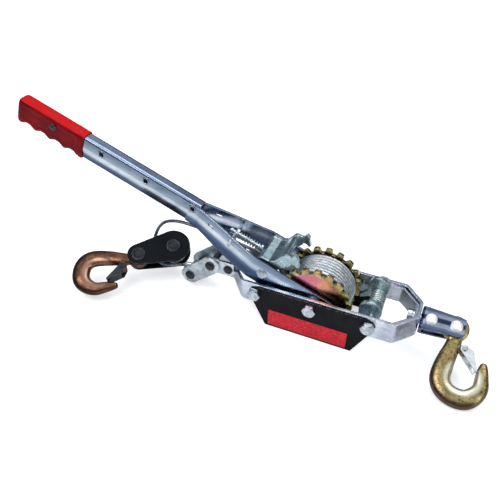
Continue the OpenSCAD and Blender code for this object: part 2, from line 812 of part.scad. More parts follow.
module drive_pawl_outline() {
    circle(r = pawl_boss_r);
    translate([-3.5, 15.5]) circle(r = 6.5);
    translate([28, 25.5]) circle(r = 8.5);
    polygon([[-pawl_boss_r + 0.5, 2], [-9.8, 15.5], [-3.5, 21.8], [6, 19.5], [14, 22], [22, 31.3],
             [28, 33.8], [37, 25], [30, 18], [19, 9], [pawl_boss_r - 1, -3]]);
    beak_outline();
}

// Beak that drops between two teeth: its tip is set out where it is engaged and turned back
function out_of_gap(r, a) =
    let (q = [r * cos(beak_at + a), r * sin(beak_at + a)] - drive_pin)
    turned(q, drive_drop);
module beak_outline() {
    polygon([
        out_of_gap(root_r + 1.7, -2.3), out_of_gap(root_r + 1.7, 2.3), out_of_gap(wheel_r - 0.5, 2.8),
        out_of_gap(wheel_r + 4, 6), [28, 17.5], [28, 33.8], [35, 33],
        out_of_gap(wheel_r + 12, -7), out_of_gap(wheel_r + 6, -7.5), out_of_gap(wheel_r - 0.5, -3.6)
    ]);
}

module holding_pawl_outline() {
    circle(r = pawl_boss_r - 1);
    translate([-2.7, 11.3]) circle(r = 14.3);
    polygon([[-16.9, 12], [-16.4, 1], [-25, -10.3], [-24, -13], [-13, -7.5], [-6, -7.8], [0, 8]]);
}

// Two legs and the sleeve that joins them on the pin
module pawl_pair(pin_d) {
    leg = wheel_out - pawl_t;
    difference() {
        union() {
            for (s = [0, 1]) mirror([0, s, 0]) across(leg, wheel_out) children(0);
            y_rod(-leg - 1, leg + 1, sleeve_d);
        }
        y_rod(-frame_w, frame_w, pin_d + 2 * run);
    }
}

module drive_pawl() {
    leg = wheel_out - pawl_t;
    color(grey_green) translate([drive_pin[0], 0, axle_h + drive_pin[1]]) {
        pawl_pair(pawl_pin_d) drive_pawl_outline();
        across(-leg - 1, leg + 1) polygon([
            [-10, 9], [-6, 9], [-6, 15.5], [-3.5, 17.8], [6, 15.6], [15.8, 18.4], [23.8, 27.6],
            [28.6, 29.6], [28.3, 33.2], [22.2, 30.9], [14.2, 21.7], [6, 19.2], [-3.5, 21.4],
            [-7, 20.1], [-10, 16]
        ]);
        translate([24, 0, 20]) y_rod(-wheel_out - 1, leg + 1, 8);
    }
}

module holding_pawl() {
    color(grey_green) translate([holding_pin[0], 0, axle_h])
        pawl_pair(bolt_d) holding_pawl_outline();
}

holding_coil_r = (sleeve_d / 2 + gap + holding_wire / 2) / cos(180 / 8);
holding_length = wheel_out - pawl_t + 3;
holding_coil = coil(holding_coil_r, holding_length - holding_wire, holding_curls);
echo(holding_pawl_spring_least_gap = least_gap(holding_coil, holding_wire, 6));

module holding_pawl_spring() {
    color(wire) translate([bolt_pitch, wheel_out - pawl_t - gap - holding_length + holding_wire / 2, axle_h])
        rotate([-90, 0, 0]) tube(holding_coil, holding_wire, 6);
}

// ---------------------------------------------------------------- hooks

// Hook forging: rivet at the origin, bowl's middle on +X, the point on the +Y side
mid_r = bowl_r + hook_w / 2;
hook_line = [
    [6, 0, 8, 5.6], [17, -3.5, 9, 6], [29, -10.5, 10.2, 7],
    [hook_reach - mid_r * cos(35), -mid_r * sin(35) - 2, hook_w / 2 - 1, hook_t / 2 - 0.1],
    [hook_reach, -mid_r, hook_w / 2, hook_t / 2],
    [hook_reach + mid_r * cos(50), -mid_r * sin(50), hook_w / 2, hook_t / 2],
    [hook_reach + mid_r - 0.3, 0, hook_w / 2 - 0.3, hook_t / 2],
    [hook_reach + (mid_r - 2.4) * cos(50), (mid_r - 2.4) * sin(50), hook_w / 2 - 2.6, hook_t / 2],
    [hook_reach, mid_r - 3.3, hook_w / 2 - 4.3, hook_t / 2 - 0.6],
    [hook_reach - 9, mid_r - 0.8, hook_w / 2 - 5.7, hook_t / 2 - 1.6],
    [hook_reach - 15.5, mid_r + 1.4, hook_w / 2 - 8, hook_t / 2 - 3]
];

// Rings across the hook's middle line: an oval whose half axes are in the list
module hook_body() {
    q = spline(hook_line, 3);
    skin([for (i = [0:len(q) - 1])
        let (a = q[max(i - 1, 0)], b = q[min(i + 1, len(q) - 1)], t = unit([b[0] - a[0], b[1] - a[1]]))
        [for (k = [0:11]) let (c = cos(30 * k), s = sin(30 * k))
            [q[i][0] - t[1] * q[i][2] * c, q[i][1] + t[0] * q[i][2] * c, q[i][3] * s]]]);
}

// Places of the latch's rivet and of the point it closes on
latch_at = [27, 6.5];
latch_len = 28.5;
latch_angle = 16;

module hook_forging() {
    difference() {
        union() {
            cylinder(r = eye_r, h = eye_t, center = true);
            hook_body();
            translate([latch_at[0], latch_at[1], 0]) cylinder(r = 5.5, h = hook_t - 1, center = true);
        }
        cylinder(d = hook_rivet_d + 2 * run, h = 2 * hook_t, center = true);
        translate([latch_at[0], latch_at[1], 0])
            cylinder(d = latch_rivet_d + 2 * snug, h = 2 * hook_t, center = true);
        for (s = [-1, 1]) translate([latch_at[0], latch_at[1], s * (hook_t / 2 + 4)])
            cylinder(r = 8, h = 9, center = true);
    }
}

module latch_rivet() {
    translate([latch_at[0], latch_at[1], 0])
        rivet(latch_w / 2, latch_rivet_d, latch_rivet_d + 3, 1.4);
}

// Sheet latch: two cheeks on the rivet, joined by the tongue that closes the mouth
module latch() {
    cheek = latch_w / 2 - latch_t;
    translate([latch_at[0], latch_at[1], 0]) rotate(latch_angle) {
        for (s = [0, 1]) mirror([0, 0, s]) translate([0, 0, cheek]) linear_extrude(latch_t)
            difference() {
                union() {
                    circle(r = 5);
                    polygon([[-2, 4.6], [6, 8.5], [latch_len, 2.2], [latch_len, 0], [2, -4.6]]);
                }
                circle(d = latch_rivet_d + 2 * run);
            }
        linear_extrude(2 * cheek + 0.2, center = true)
            polygon([[9, 7.4], [latch_len, 2.2], [latch_len, 0.5], [10, 5.6]]);
    }
}

// ---------------------------------------------------------------- swivel link and front hook

module in_swivel() {
    translate([0, 0, swivel_z]) rotate([roll, 0, 0]) children();
}

module swivel_link() {
    half = link_gap / 2 + link_t / 2;
    end_x = hook_rivet_at + link_past;
    e = link_end_w / 2;
    path = [[end_x + 1, -half], [link_x + link_t / 2, -half], [link_x + link_t / 2, half], [end_x + 1, half]];
    color(zinc) in_swivel() difference() {
        intersection() {
            rotate([90, 0, 0]) linear_extrude(2 * link_w, center = true) band(path, 3.5, link_t);
            linear_extrude(4 * link_half, center = true)
                polygon([[link_x, link_w / 2], [link_x, -link_w / 2], [end_x - 3, -e],
                         [end_x - 0.9, 0.9 - e], [end_x, 3 - e], [end_x, e - 3],
                         [end_x - 0.9, e - 0.9], [end_x - 3, e]]);
        }
        for (x = [stud_rivet_at, hook_rivet_at]) translate([x, 0, 0])
            cylinder(d = (x == stud_rivet_at ? stud_rivet_d : hook_rivet_d) + 2 * snug,
                     h = 4 * link_half, center = true);
        translate([link_x - 1, 0, 0]) rotate([0, 90, 0]) cylinder(d = stud_d + 2 * snug, h = link_t + 2);
    }
}

// Stud through the frame's front, with its head inside and the rivet through its end
module swivel_stud() {
    head_x = front_in - stiffener_t - 2.5 - 6;
    color(zinc) in_swivel() difference() {
        union() {
            translate([head_x, 0, 0]) rotate([0, 90, 0]) cylinder(d = stud_d + 7, h = 6 - gap);
            translate([head_x, 0, 0]) rotate([0, 90, 0]) cylinder(d = stud_d, h = stud_rivet_at + 7 - head_x);
        }
        translate([stud_rivet_at, 0, 0])
            cylinder(d = stud_rivet_d + 2 * snug, h = 2 * stud_d, center = true);
    }
}

module swivel_washer() {
    color(zinc) in_swivel() translate([front_in - stiffener_t - 2.5, 0, 0]) rotate([0, 90, 0]) difference() {
        cylinder(d = stud_d + 7, h = 2.5 - gap);
        translate([0, 0, -1]) cylinder(d = stud_d + 2 * snug, h = 5);
    }
}

module stud_rivet() {
    color(zinc) in_swivel() translate([stud_rivet_at, 0, 0])
        rivet(link_half, stud_rivet_d, stud_rivet_d + 7, 2.6);
}

module front_hook_rivet() {
    color(zinc) in_swivel() translate([hook_rivet_at, 0, 0])
        rivet(link_half, hook_rivet_d, hook_rivet_d + 4.5, 2.8);
}

module in_front_hook() {
    in_swivel() translate([hook_rivet_at, 0, 0]) rotate(front_hook_turn) children();
}

module front_hook() { color(gold) in_front_hook() hook_forging(); }

module front_latch_rivet() { color(zinc) in_front_hook() latch_rivet(); }

module front_latch() { color(zinc) in_front_hook() latch(); }

// ---------------------------------------------------------------- rope end

// Outline, in the XZ plane, of a plate between the anchor pin and the rope pin
module end_plate_outline() {
    dx = anchor_x - rope_pin_x;
    dz = rope_pin_z - anchor_z;
    translate([-anchor_x, anchor_z]) rotate(atan2(dz, dx))
        two_ends(norm([dx, dz]), end_plate_w / 2, end_plate_w / 2);
}

module end_plate(y0) {
    color(grey_green) difference() {
        across(y0, y0 + end_plate_t) end_plate_outline();
        translate([-anchor_x, 0, anchor_z]) y_rod(-frame_w, frame_w, clevis_pin_d + 2 * snug);
        translate([-rope_pin_x, 0, rope_pin_z]) y_rod(-frame_w, frame_w, clevis_pin_d + 2 * snug);
    }
}

module near_end_plate() { end_plate(-ear_w / 2 - 0.3 - end_plate_t); }

module far_end_plate() { end_plate(ear_w / 2 + 0.3); }

module clevis_rivet(x, z) {
    color(black) translate([-x, 0, z]) rotate([90, 0, 0])
        rivet(ear_w / 2 + 0.3 + end_plate_t, clevis_pin_d, clevis_pin_d + 5, 3);
}

module anchor_pin() { clevis_rivet(anchor_x, anchor_z); }

module rope_pin() { clevis_rivet(rope_pin_x, rope_pin_z); }

// Pressed ferrule with the eye that sits on the rope pin
module rope_ferrule() {
    v = ferrule_to - ferrule_from;
    color(wire) difference() {
        union() {
            translate(ferrule_from) rotate([0, acos(v[2] / norm(v)), atan2(v[1], v[0])])
                cylinder(d = ferrule_d, h = norm(v) - 3);
            translate([-rope_pin_x, 0, rope_pin_z]) y_rod(-5.5, 5.5, clevis_pin_d + 8);
        }
        translate([-rope_pin_x, 0, rope_pin_z]) y_rod(-frame_w, frame_w, clevis_pin_d + 2 * snug);
    }
}

module rope_run() {
    color(wire) tube(spline(rope_route, route_steps), rope_d, 8, [0, 1, 0]);
}

// ---------------------------------------------------------------- sheave block and rear hook

module in_block() {
    translate(block_at) rotate(block_turn) children();
}

module block_plate(z0) {
    color(black) in_block() translate([0, 0, z0]) difference() {
        linear_extrude(block_t) two_ends(block_pitch, block_r, block_end_r);
        for (x = [0, block_pitch]) translate([x, 0, -1])
            cylinder(d = block_pin_d + 2 * snug, h = block_t + 2);
    }
}

module near_block_plate() { block_plate(block_gap / 2); }

module far_block_plate() { block_plate(-block_gap / 2 - block_t); }

module block_pin(x) {
    color(black) in_block() translate([x, 0, 0])
        rivet(block_gap / 2 + block_t, block_pin_d, block_pin_d + 3, 2.4);
}

module sheave_pin() { block_pin(0); }

module block_hook_pin() { block_pin(block_pitch); }

bush_d = block_pin_d + 5;

module sheave() {
    w = sheave_w / 2;
    color(grey_green) in_block() rotate_extrude() polygon(concat(
        [[bush_d / 2 + snug, -w], [sheave_r - 1, -w], [sheave_r, -w + 1]],
        [for (k = [0:8]) let (a = 180 * k / 8)
            [sheave_r - (sheave_r - groove_r) * sin(a), -(w - 2) * cos(a)]],
        [[sheave_r, w - 1], [sheave_r - 1, w], [bush_d / 2 + snug, w]]
    ));
}

module sheave_bush() {
    color(bronze) in_block() difference() {
        cylinder(d = bush_d, h = sheave_w + 1, center = true);
        cylinder(d = block_pin_d + 2 * run, h = sheave_w + 3, center = true);
    }
}

module in_rear_hook() {
    in_block() translate([block_pitch, 0, 0]) rotate(rear_hook_turn) children();
}

module rear_hook() { color(bronze) in_rear_hook() hook_forging(); }

module rear_latch_rivet() { color(black) in_rear_hook() latch_rivet(); }

module rear_latch() { color(black) in_rear_hook() latch(); }

// ---------------------------------------------------------------- drawing

frame_strap();
front_stiffener();
near_side_plate();
far_side_plate();
label_panel();
axle_bolt();
end_bolts();
frame_nuts();
rear_spacer();
axle_washers();
ear_rivet();
near_ratchet_wheel();
far_ratchet_wheel();
drum_barrel();
rope_inner_layers();
rope_winding();
lever();
lever_grip();
grip_rivet();
drive_pawl_pin();
spring_bridge();
spring_rod();
drive_pawl_spring();
drive_pawl();
holding_pawl();
holding_pawl_spring();
swivel_stud();
swivel_washer();
swivel_link();
stud_rivet();
front_hook_rivet();
front_hook();
front_latch_rivet();
front_latch();
anchor_pin();
rope_pin();
near_end_plate();
far_end_plate();
rope_ferrule();
rope_run();
near_block_plate();
far_block_plate();
sheave_pin();
block_hook_pin();
sheave();
sheave_bush();
rear_hook();
rear_latch_rivet();
rear_latch();
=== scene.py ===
import math

import bmesh
import bpy
import numpy as np
from mathutils import Matrix, Vector


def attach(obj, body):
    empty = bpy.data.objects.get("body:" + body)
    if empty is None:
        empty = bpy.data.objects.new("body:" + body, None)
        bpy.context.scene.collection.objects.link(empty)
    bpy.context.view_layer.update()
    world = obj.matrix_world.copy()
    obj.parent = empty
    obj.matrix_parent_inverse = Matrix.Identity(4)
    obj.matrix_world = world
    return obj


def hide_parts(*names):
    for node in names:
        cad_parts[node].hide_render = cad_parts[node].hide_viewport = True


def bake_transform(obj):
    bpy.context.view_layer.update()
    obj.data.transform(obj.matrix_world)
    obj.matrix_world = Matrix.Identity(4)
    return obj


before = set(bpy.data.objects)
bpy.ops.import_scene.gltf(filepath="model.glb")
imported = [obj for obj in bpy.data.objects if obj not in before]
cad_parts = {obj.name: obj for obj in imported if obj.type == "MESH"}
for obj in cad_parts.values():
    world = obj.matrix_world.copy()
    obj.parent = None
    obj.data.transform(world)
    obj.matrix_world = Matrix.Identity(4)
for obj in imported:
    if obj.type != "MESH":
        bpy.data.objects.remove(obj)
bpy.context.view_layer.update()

# The part's lengths are in millimetres, and MM turns them into metres. Materials, blends, lamps and the floor
# are in metres.
MM = 0.001
AXLE = 50.5  # height of the drum's axle
SWIVEL_DROP = 1.5  # the swivel stud lies this much under the axle
LEVER_ANGLE = 20.5
LINK_ROLL = 28.5
DRIVE_D = 75  # from the axle to the drive pawl's pin, along the lever

# ------------------------------------------------------------------ camera
cam_data = bpy.data.cameras.new("camera")
cam_data.sensor_width = 36.0
cam_data.lens = 39.6
cam_data.clip_start = 0.01
cam = bpy.data.objects.new("camera", cam_data)
bpy.context.scene.collection.objects.link(cam)
cam_right = Vector((0.91988, 0.39181, 0.01751)).normalized()
cam_back = Vector((0.29678, -0.72458, 0.62202)).normalized()
cam_up = cam_back.cross(cam_right).normalized()
cam_right = cam_up.cross(cam_back).normalized()
cam_place = Matrix((cam_right, cam_up, cam_back)).transposed().to_4x4()
cam_place.translation = Vector((118.04, -533.86, 490.75 + AXLE)) * MM
cam.matrix_world = cam_place
bpy.context.scene.camera = cam


# ------------------------------------------------------------------ places on the part
def rot(rx=0, ry=0, rz=0):
    """Turns in degrees about X, then Y, then Z."""
    return (Matrix.Rotation(math.radians(rz), 4, "Z") @ Matrix.Rotation(math.radians(ry), 4, "Y")
            @ Matrix.Rotation(math.radians(rx), 4, "X"))


def move(x, y, z):
    return Matrix.Translation(Vector((x, y, z)) * MM)


BLOCK_PITCH = 50.5  # from the sheave's pin to the hook's pin
IN_LEVER = move(0, 0, AXLE) @ rot(0, -LEVER_ANGLE, 180)
SWIVEL = move(0, 0, AXLE - SWIVEL_DROP) @ rot(LINK_ROLL)
IN_FRONT_HOOK = SWIVEL @ move(174.5, 0, 0) @ rot(rz=-71)
IN_BLOCK = move(-221, 2, 44.5) @ rot(-26, 5.5, -141)
IN_REAR_HOOK = IN_BLOCK @ move(BLOCK_PITCH, 0, 0) @ rot(rz=11)
HOOK_REACH = 61.0  # from a hook's pin to the middle of its bowl


# ------------------------------------------------------------------ materials
class Graph:
    """A material's nodes. The methods return the output socket of what they add."""

    def __init__(self, name):
        self.mat = bpy.data.materials.new(name)
        self.mat.use_nodes = True
        self.t = self.mat.node_tree
        self.t.nodes.clear()
        self.out = self.t.nodes.new("ShaderNodeOutputMaterial")
        self.pos = self.add("ShaderNodeTexCoord").outputs["Object"]

    def add(self, kind, **props):
        n = self.t.nodes.new(kind)
        for k, v in props.items():
            setattr(n, k, v)
        return n

    def put(self, socket, value):
        """Links a socket to an input, or sets the input's own value."""
        if isinstance(value, bpy.types.NodeSocket):
            self.t.links.new(value, socket)
        elif isinstance(value, (tuple, list)) and len(value) == 3 and socket.type == "RGBA":
            socket.default_value = (*value, 1.0)
        else:
            socket.default_value = value

    def noise(self, scale, detail=3.0, rough=0.55, stretch=None, warp=0.0, offset=(0, 0, 0)):
        v = self.pos
        if stretch or any(offset):
            mp = self.add("ShaderNodeMapping")
            self.put(mp.inputs["Vector"], v)
            mp.inputs["Scale"].default_value = stretch or (1, 1, 1)
            mp.inputs["Location"].default_value = offset
            v = mp.outputs[0]
        n = self.add("ShaderNodeTexNoise")
        self.put(n.inputs["Vector"], v)
        n.inputs["Scale"].default_value = scale
        n.inputs["Detail"].default_value = detail
        n.inputs["Roughness"].default_value = rough
        n.inputs["Distortion"].default_value = warp
        return n.outputs["Fac"]

    def ramp(self, fac, stops, smooth=True):
        n = self.add("ShaderNodeValToRGB")
        if smooth:
            n.color_ramp.interpolation = "EASE"
        e = n.color_ramp.elements
        while len(e) < len(stops):
            e.new(0.5)
        for el, (p, c) in zip(e, sorted(stops, key=lambda s: s[0])):
            el.position = p
            el.color = (*c, 1) if isinstance(c, (tuple, list)) else (c, c, c, 1)
        self.put(n.inputs["Fac"], fac)
        return n.outputs["Color"]

    def mix(self, fac, a, b, mode="MIX"):
        n = self.add("ShaderNodeMix", data_type="RGBA", blend_type=mode)
        self.put(n.inputs[0], fac)
        self.put(n.inputs[6], a)
        self.put(n.inputs[7], b)
        return n.outputs[2]

    def math(self, op, a, b=0.0):
        n = self.add("ShaderNodeMath", operation=op)
        self.put(n.inputs[0], a)
        self.put(n.inputs[1], b)
        return n.outputs[0]

    def vector(self, op, a, b=None):
        n = self.add("ShaderNodeVectorMath", operation=op)
        self.put(n.inputs[0], a)
        if b is not None:
            self.put(n.inputs[1], b)
        return n.outputs["Value" if op in ("LENGTH", "DOT_PRODUCT") else "Vector"]

    def along(self, origin, axis):
        """Distance in metres from a point, measured along an axis."""
        return self.vector("DOT_PRODUCT", self.vector("SUBTRACT", self.pos, origin), axis)

    def from_axle(self):
        """Distance in metres from the drum's axle."""
        mp = self.add("ShaderNodeMapping")
        self.put(mp.inputs["Vector"], self.pos)
        mp.inputs["Location"].default_value = (0, 0, -AXLE * MM)
        mp.inputs["Scale"].default_value = (1, 0, 1)
        return self.vector("LENGTH", mp.outputs[0])

    def edge(self, radius):
        """A rounded normal, and a mask that is 1 along the edges."""
        bev = self.add("ShaderNodeBevel", samples=6)
        bev.inputs["Radius"].default_value = radius
        flat = self.add("ShaderNodeNewGeometry").outputs["True Normal"]
        mask = self.ramp(self.vector("DOT_PRODUCT", bev.outputs[0], flat), [(0.80, 1.0), (0.985, 0.0)])
        return bev.outputs[0], mask

    def bump(self, height, strength, distance, normal):
        n = self.add("ShaderNodeBump")
        n.inputs["Strength"].default_value = strength
        n.inputs["Distance"].default_value = distance
        self.put(n.inputs["Height"], height)
        self.put(n.inputs["Normal"], normal)
        return n.outputs[0]

    def finish(self, color, metallic, rough, normal, coat=0.0, specular=0.5):
        p = self.add("ShaderNodeBsdfPrincipled")
        self.put(p.inputs["Base Color"], color)
        p.inputs["Metallic"].default_value = metallic
        self.put(p.inputs["Roughness"], rough)
        p.inputs["Specular IOR Level"].default_value = specular
        p.inputs["Coat Weight"].default_value = coat
        p.inputs["Coat Roughness"].default_value = 0.08
        self.put(p.inputs["Normal"], normal)
        self.put(self.out.inputs["Surface"], p.outputs[0])
        return self.mat


def plated(name, light, dark, glint, rough, scale, grime=0.35, bevel=0.0009, stretch=(1, 1, 1), spots=None,
           bump=0.12, reflection_bands=None, shade_radii=None, bowl=None):
    """Plated steel: cloudy colour, fine brush marks, grime in patches, a painted highlight along the edges.
    Distances are in metres.

    rough is the least and the most roughness, spots is (scale, colour, strength).
    bands is (origin, axis, from, to, [(millimetres, tint)]): painted reflection and painted shade across a pressed
    section.
    depth is two radii from the axle, between which the colour darkens inwards: painted shade towards the drum.
    bowl is (worn colour, outer edge's colour, place) of a hook: sling wear with a painted highlight lightens the
    bowl, and painted shade darkens its inner face and outer edge.
    """
    g = Graph(name)
    cloud = g.noise(scale, 4.0, 0.6, stretch, 0.6)
    fine = g.noise(900, 3.0, 0.6, stretch)
    grain = g.noise(260, 2.0, 0.5, (stretch[0] * 0.25, stretch[1], stretch[2]))
    normal, mask = g.edge(bevel)
    c = g.mix(g.ramp(cloud, [(0.34, 0.0), (0.66, 1.0)]), dark, light)
    c = g.mix(g.ramp(grain, [(0.40, 0.0), (0.75, grime)]), c, tuple(v * 0.55 for v in dark))
    if spots:
        spot = g.noise(spots[0], 5.0, 0.65, offset=(0.3, 0.1, 0.2))
        c = g.mix(g.ramp(spot, [(0.52, 0.0), (0.64, spots[2])]), c, spots[1])
    # painted reflection and painted shade: tints laid across the section by place along an axis
    if reflection_bands:
        origin, axis, lo, hi, stops = reflection_bands
        h = g.math("ADD", g.along(origin, axis), g.math("MULTIPLY", cloud, 0.003))
        h = g.math("DIVIDE", g.math("SUBTRACT", h, lo + 0.0015), hi - lo)
        tint = g.ramp(h, [((z * MM - lo) / (hi - lo), k) for z, k in stops])
        c = g.mix(1.0, c, tint, "MULTIPLY")
    # painted shade: darker towards the drum
    if shade_radii:
        deep = g.math("DIVIDE", g.math("SUBTRACT", g.from_axle(), shade_radii[0]), shade_radii[1] - shade_radii[0])
        shade = g.ramp(deep, [(0.0, (0.05, 0.06, 0.07)), (0.45, (0.42, 0.46, 0.48)), (1.0, (1, 1, 1))])
        c = g.mix(1.0, c, shade, "MULTIPLY")
    if bowl:
        wear_and_highlight, outer, place = bowl
        centre, turned = place @ Vector((HOOK_REACH * MM, 0, 0)), place.to_3x3()
        radius = g.vector("LENGTH", g.vector("CROSS_PRODUCT", g.vector("SUBTRACT", g.pos, centre), turned.col[2]))
        # 0 at the bowl's inner edge and 1 past its outer edge
        away = g.math("ADD", radius, g.math("MULTIPLY", cloud, 0.004))
        away = g.math("DIVIDE", g.math("SUBTRACT", away, 0.012), 0.030)
        # painted shade along the bowl's inner face
        c = g.mix(g.ramp(away, [(0.02, 0.45), (0.12, 0.1), (0.20, 0.0)]), c, tuple(v * 0.4 for v in dark))
        # sling wear and a painted highlight across the bowl
        c = g.mix(g.ramp(away, [(0.08, 0.0), (0.20, 0.65), (0.32, 0.5), (0.48, 0.0)]), c, wear_and_highlight)
        # painted shade on the bowl's outer edge, fading towards the shank
        shade_side = g.ramp(g.math("ADD", g.along(centre, turned.col[0]), 0.031), [(0.0, 0.0), (0.028, 1.0)])
        c = g.mix(g.math("MULTIPLY", g.ramp(away, [(0.52, 0.0), (0.86, 0.9)]), shade_side), c, outer)
    # painted highlight: the edges are lightened towards the glint colour
    c = g.mix(g.math("MULTIPLY", mask, 0.75), c, glint)
    r = g.ramp(cloud, [(0.3, rough[1]), (0.7, rough[0])])
    r = g.mix(g.ramp(fine, [(0.45, 0.0), (0.7, 0.35)]), r, (rough[1] + 0.12,) * 3)
    n = g.bump(fine, bump, 0.00012, normal)
    return g.finish(c, 1.0, r, n)


ZINC = plated("zinc_bright", (0.84, 0.88, 0.94), (0.50, 0.56, 0.66), (0.98, 0.99, 1.0), (0.12, 0.25), 22,
              0.30, spots=(60, (0.26, 0.30, 0.38), 0.5))
LEVER_UP = (math.sin(math.radians(LEVER_ANGLE)), 0.0, math.cos(math.radians(LEVER_ANGLE)))
# the lever's bands are painted reflection and painted shade: a dark navy hem, a bright band below the holes, mid
# grey above, darker at the top edge
ZINC_LEVER = plated("zinc_lever", (0.84, 0.90, 0.94), (0.52, 0.60, 0.69), (0.98, 0.99, 1.0), (0.13, 0.25), 14,
                    0.22, stretch=(0.5, 1, 1), spots=(40, (0.30, 0.35, 0.43), 0.3),
                    reflection_bands=((0, 0, AXLE * MM), LEVER_UP, -0.020, 0.026,
                           [(-18, (0.10, 0.13, 0.20)), (-9, (0.09, 0.12, 0.19)), (-3, (0.16, 0.21, 0.31)),
                            (0.5, (0.60, 0.67, 0.78)), (2.5, (1.0, 1.0, 1.0)), (6.5, (1.0, 1.0, 1.0)),
                            (9.5, (0.50, 0.56, 0.65)), (17, (0.34, 0.39, 0.48)), (22.6, (0.38, 0.43, 0.53)),
                            (23.2, (0.20, 0.24, 0.32))]))
LINK_ACROSS = (0.0, math.cos(math.radians(LINK_ROLL)), math.sin(math.radians(LINK_ROLL)))
# the link's bands are painted reflection: bright stripes between dark ones along its length
ZINC_LINK = plated("zinc_link", (0.72, 0.77, 0.86), (0.46, 0.52, 0.62), (0.97, 0.98, 1.0), (0.10, 0.22), 40,
                   0.2, spots=(90, (0.3, 0.34, 0.42), 0.3),
                   reflection_bands=((0, 0, (AXLE - SWIVEL_DROP) * MM), LINK_ACROSS, -0.018, 0.018,
                          [(-15, (0.16, 0.20, 0.30)), (-9, (0.40, 0.46, 0.60)), (-7, (1.0, 1.0, 1.0)),
                           (-3, (0.9, 0.93, 1.0)), (-1, (0.10, 0.13, 0.20)), (3, (0.07, 0.09, 0.15)),
                           (5.5, (0.85, 0.9, 1.0)), (8, (0.75, 0.8, 0.9)), (11, (0.25, 0.3, 0.4)),
                           (15, (0.3, 0.36, 0.46))]))
ZINC_BOLT = plated("zinc_bolt", (0.80, 0.86, 0.89), (0.42, 0.49, 0.54), (0.96, 0.98, 1.0), (0.18, 0.34), 120,
                   0.40, bevel=0.0007, spots=(260, (0.20, 0.24, 0.26), 0.5))
# white rivet heads: the white is a painted highlight
DOME_HIGHLIGHT = plated("zinc_dome_highlight", (1.0, 1.0, 1.0), (0.92, 0.94, 0.97), (1.0, 1.0, 1.0), (0.42, 0.55), 120,
              0.08, bevel=0.0007)
TEAL = plated("zinc_pawl", (0.74, 0.88, 0.89), (0.36, 0.52, 0.56), (0.97, 0.99, 0.98), (0.2, 0.36), 50, 0.3,
              bevel=0.0014, spots=(130, (0.16, 0.28, 0.32), 0.45))
GREEN = plated("zinc_clevis", (0.80, 0.86, 0.89), (0.44, 0.52, 0.57), (0.95, 0.98, 0.97), (0.22, 0.4), 60, 0.45,
               bevel=0.0013, spots=(150, (0.18, 0.21, 0.23), 0.5))
# the front hook's pale bowl is wear with a painted highlight; its dark outer edge is painted shade
GOLD = plated("gold_hook", (0.56, 0.45, 0.20), (0.24, 0.19, 0.08), (0.98, 0.92, 0.72), (0.22, 0.40), 60, 0.5,
              bevel=0.001, spots=(330, (0.055, 0.045, 0.02), 0.85), bump=0.45,
              bowl=((1.0, 0.96, 0.80), (0.115, 0.062, 0.055), IN_FRONT_HOOK))
GOLD_BARREL = plated("gold_barrel", (0.66, 0.50, 0.22), (0.34, 0.26, 0.10), (0.95, 0.88, 0.66), (0.22, 0.40), 60,
                     0.3)
# the rear hook's pale bowl is wear with a painted highlight; its dark outer edge is painted shade
BRONZE = plated("bronze_hook", (0.28, 0.135, 0.080), (0.085, 0.045, 0.032), (0.70, 0.50, 0.38), (0.24, 0.44), 40,
                0.5, bevel=0.001, spots=(110, (0.045, 0.032, 0.028), 0.85), bump=0.35,
                bowl=((0.56, 0.33, 0.23), (0.035, 0.022, 0.020), IN_REAR_HOOK))
BRONZE_BUSH = plated("bronze_bush", (0.55, 0.36, 0.20), (0.35, 0.22, 0.12), (0.8, 0.66, 0.5), (0.2, 0.4), 60, 0.3)
WIRE = plated("spring_wire", (0.82, 0.88, 0.88), (0.42, 0.50, 0.50), (0.95, 0.97, 0.96), (0.2, 0.34), 160, 0.3,
              bevel=0.0003)
# the winding darkens towards the drum: painted shade
ROPE = plated("rope_strand", (0.93, 0.96, 0.97), (0.62, 0.68, 0.70), (0.99, 1.0, 1.0), (0.28, 0.46), 75, 0.35,
              bevel=0.0002, spots=(300, (0.24, 0.27, 0.30), 0.5), shade_radii=(0.0412, 0.0438))
# dark rope for the inner layers and the free run: painted shade
ROPE_SHADE = plated("rope_painted_shade", (0.34, 0.38, 0.42), (0.10, 0.12, 0.15), (0.7, 0.74, 0.78), (0.22, 0.4), 90, 0.5,
                   bevel=0.0002, spots=(300, (0.05, 0.06, 0.07), 0.8))
SILVER = plated("latch_zinc", (0.94, 0.96, 0.98), (0.72, 0.77, 0.81), (0.98, 0.99, 1.0), (0.26, 0.40), 90, 0.25)


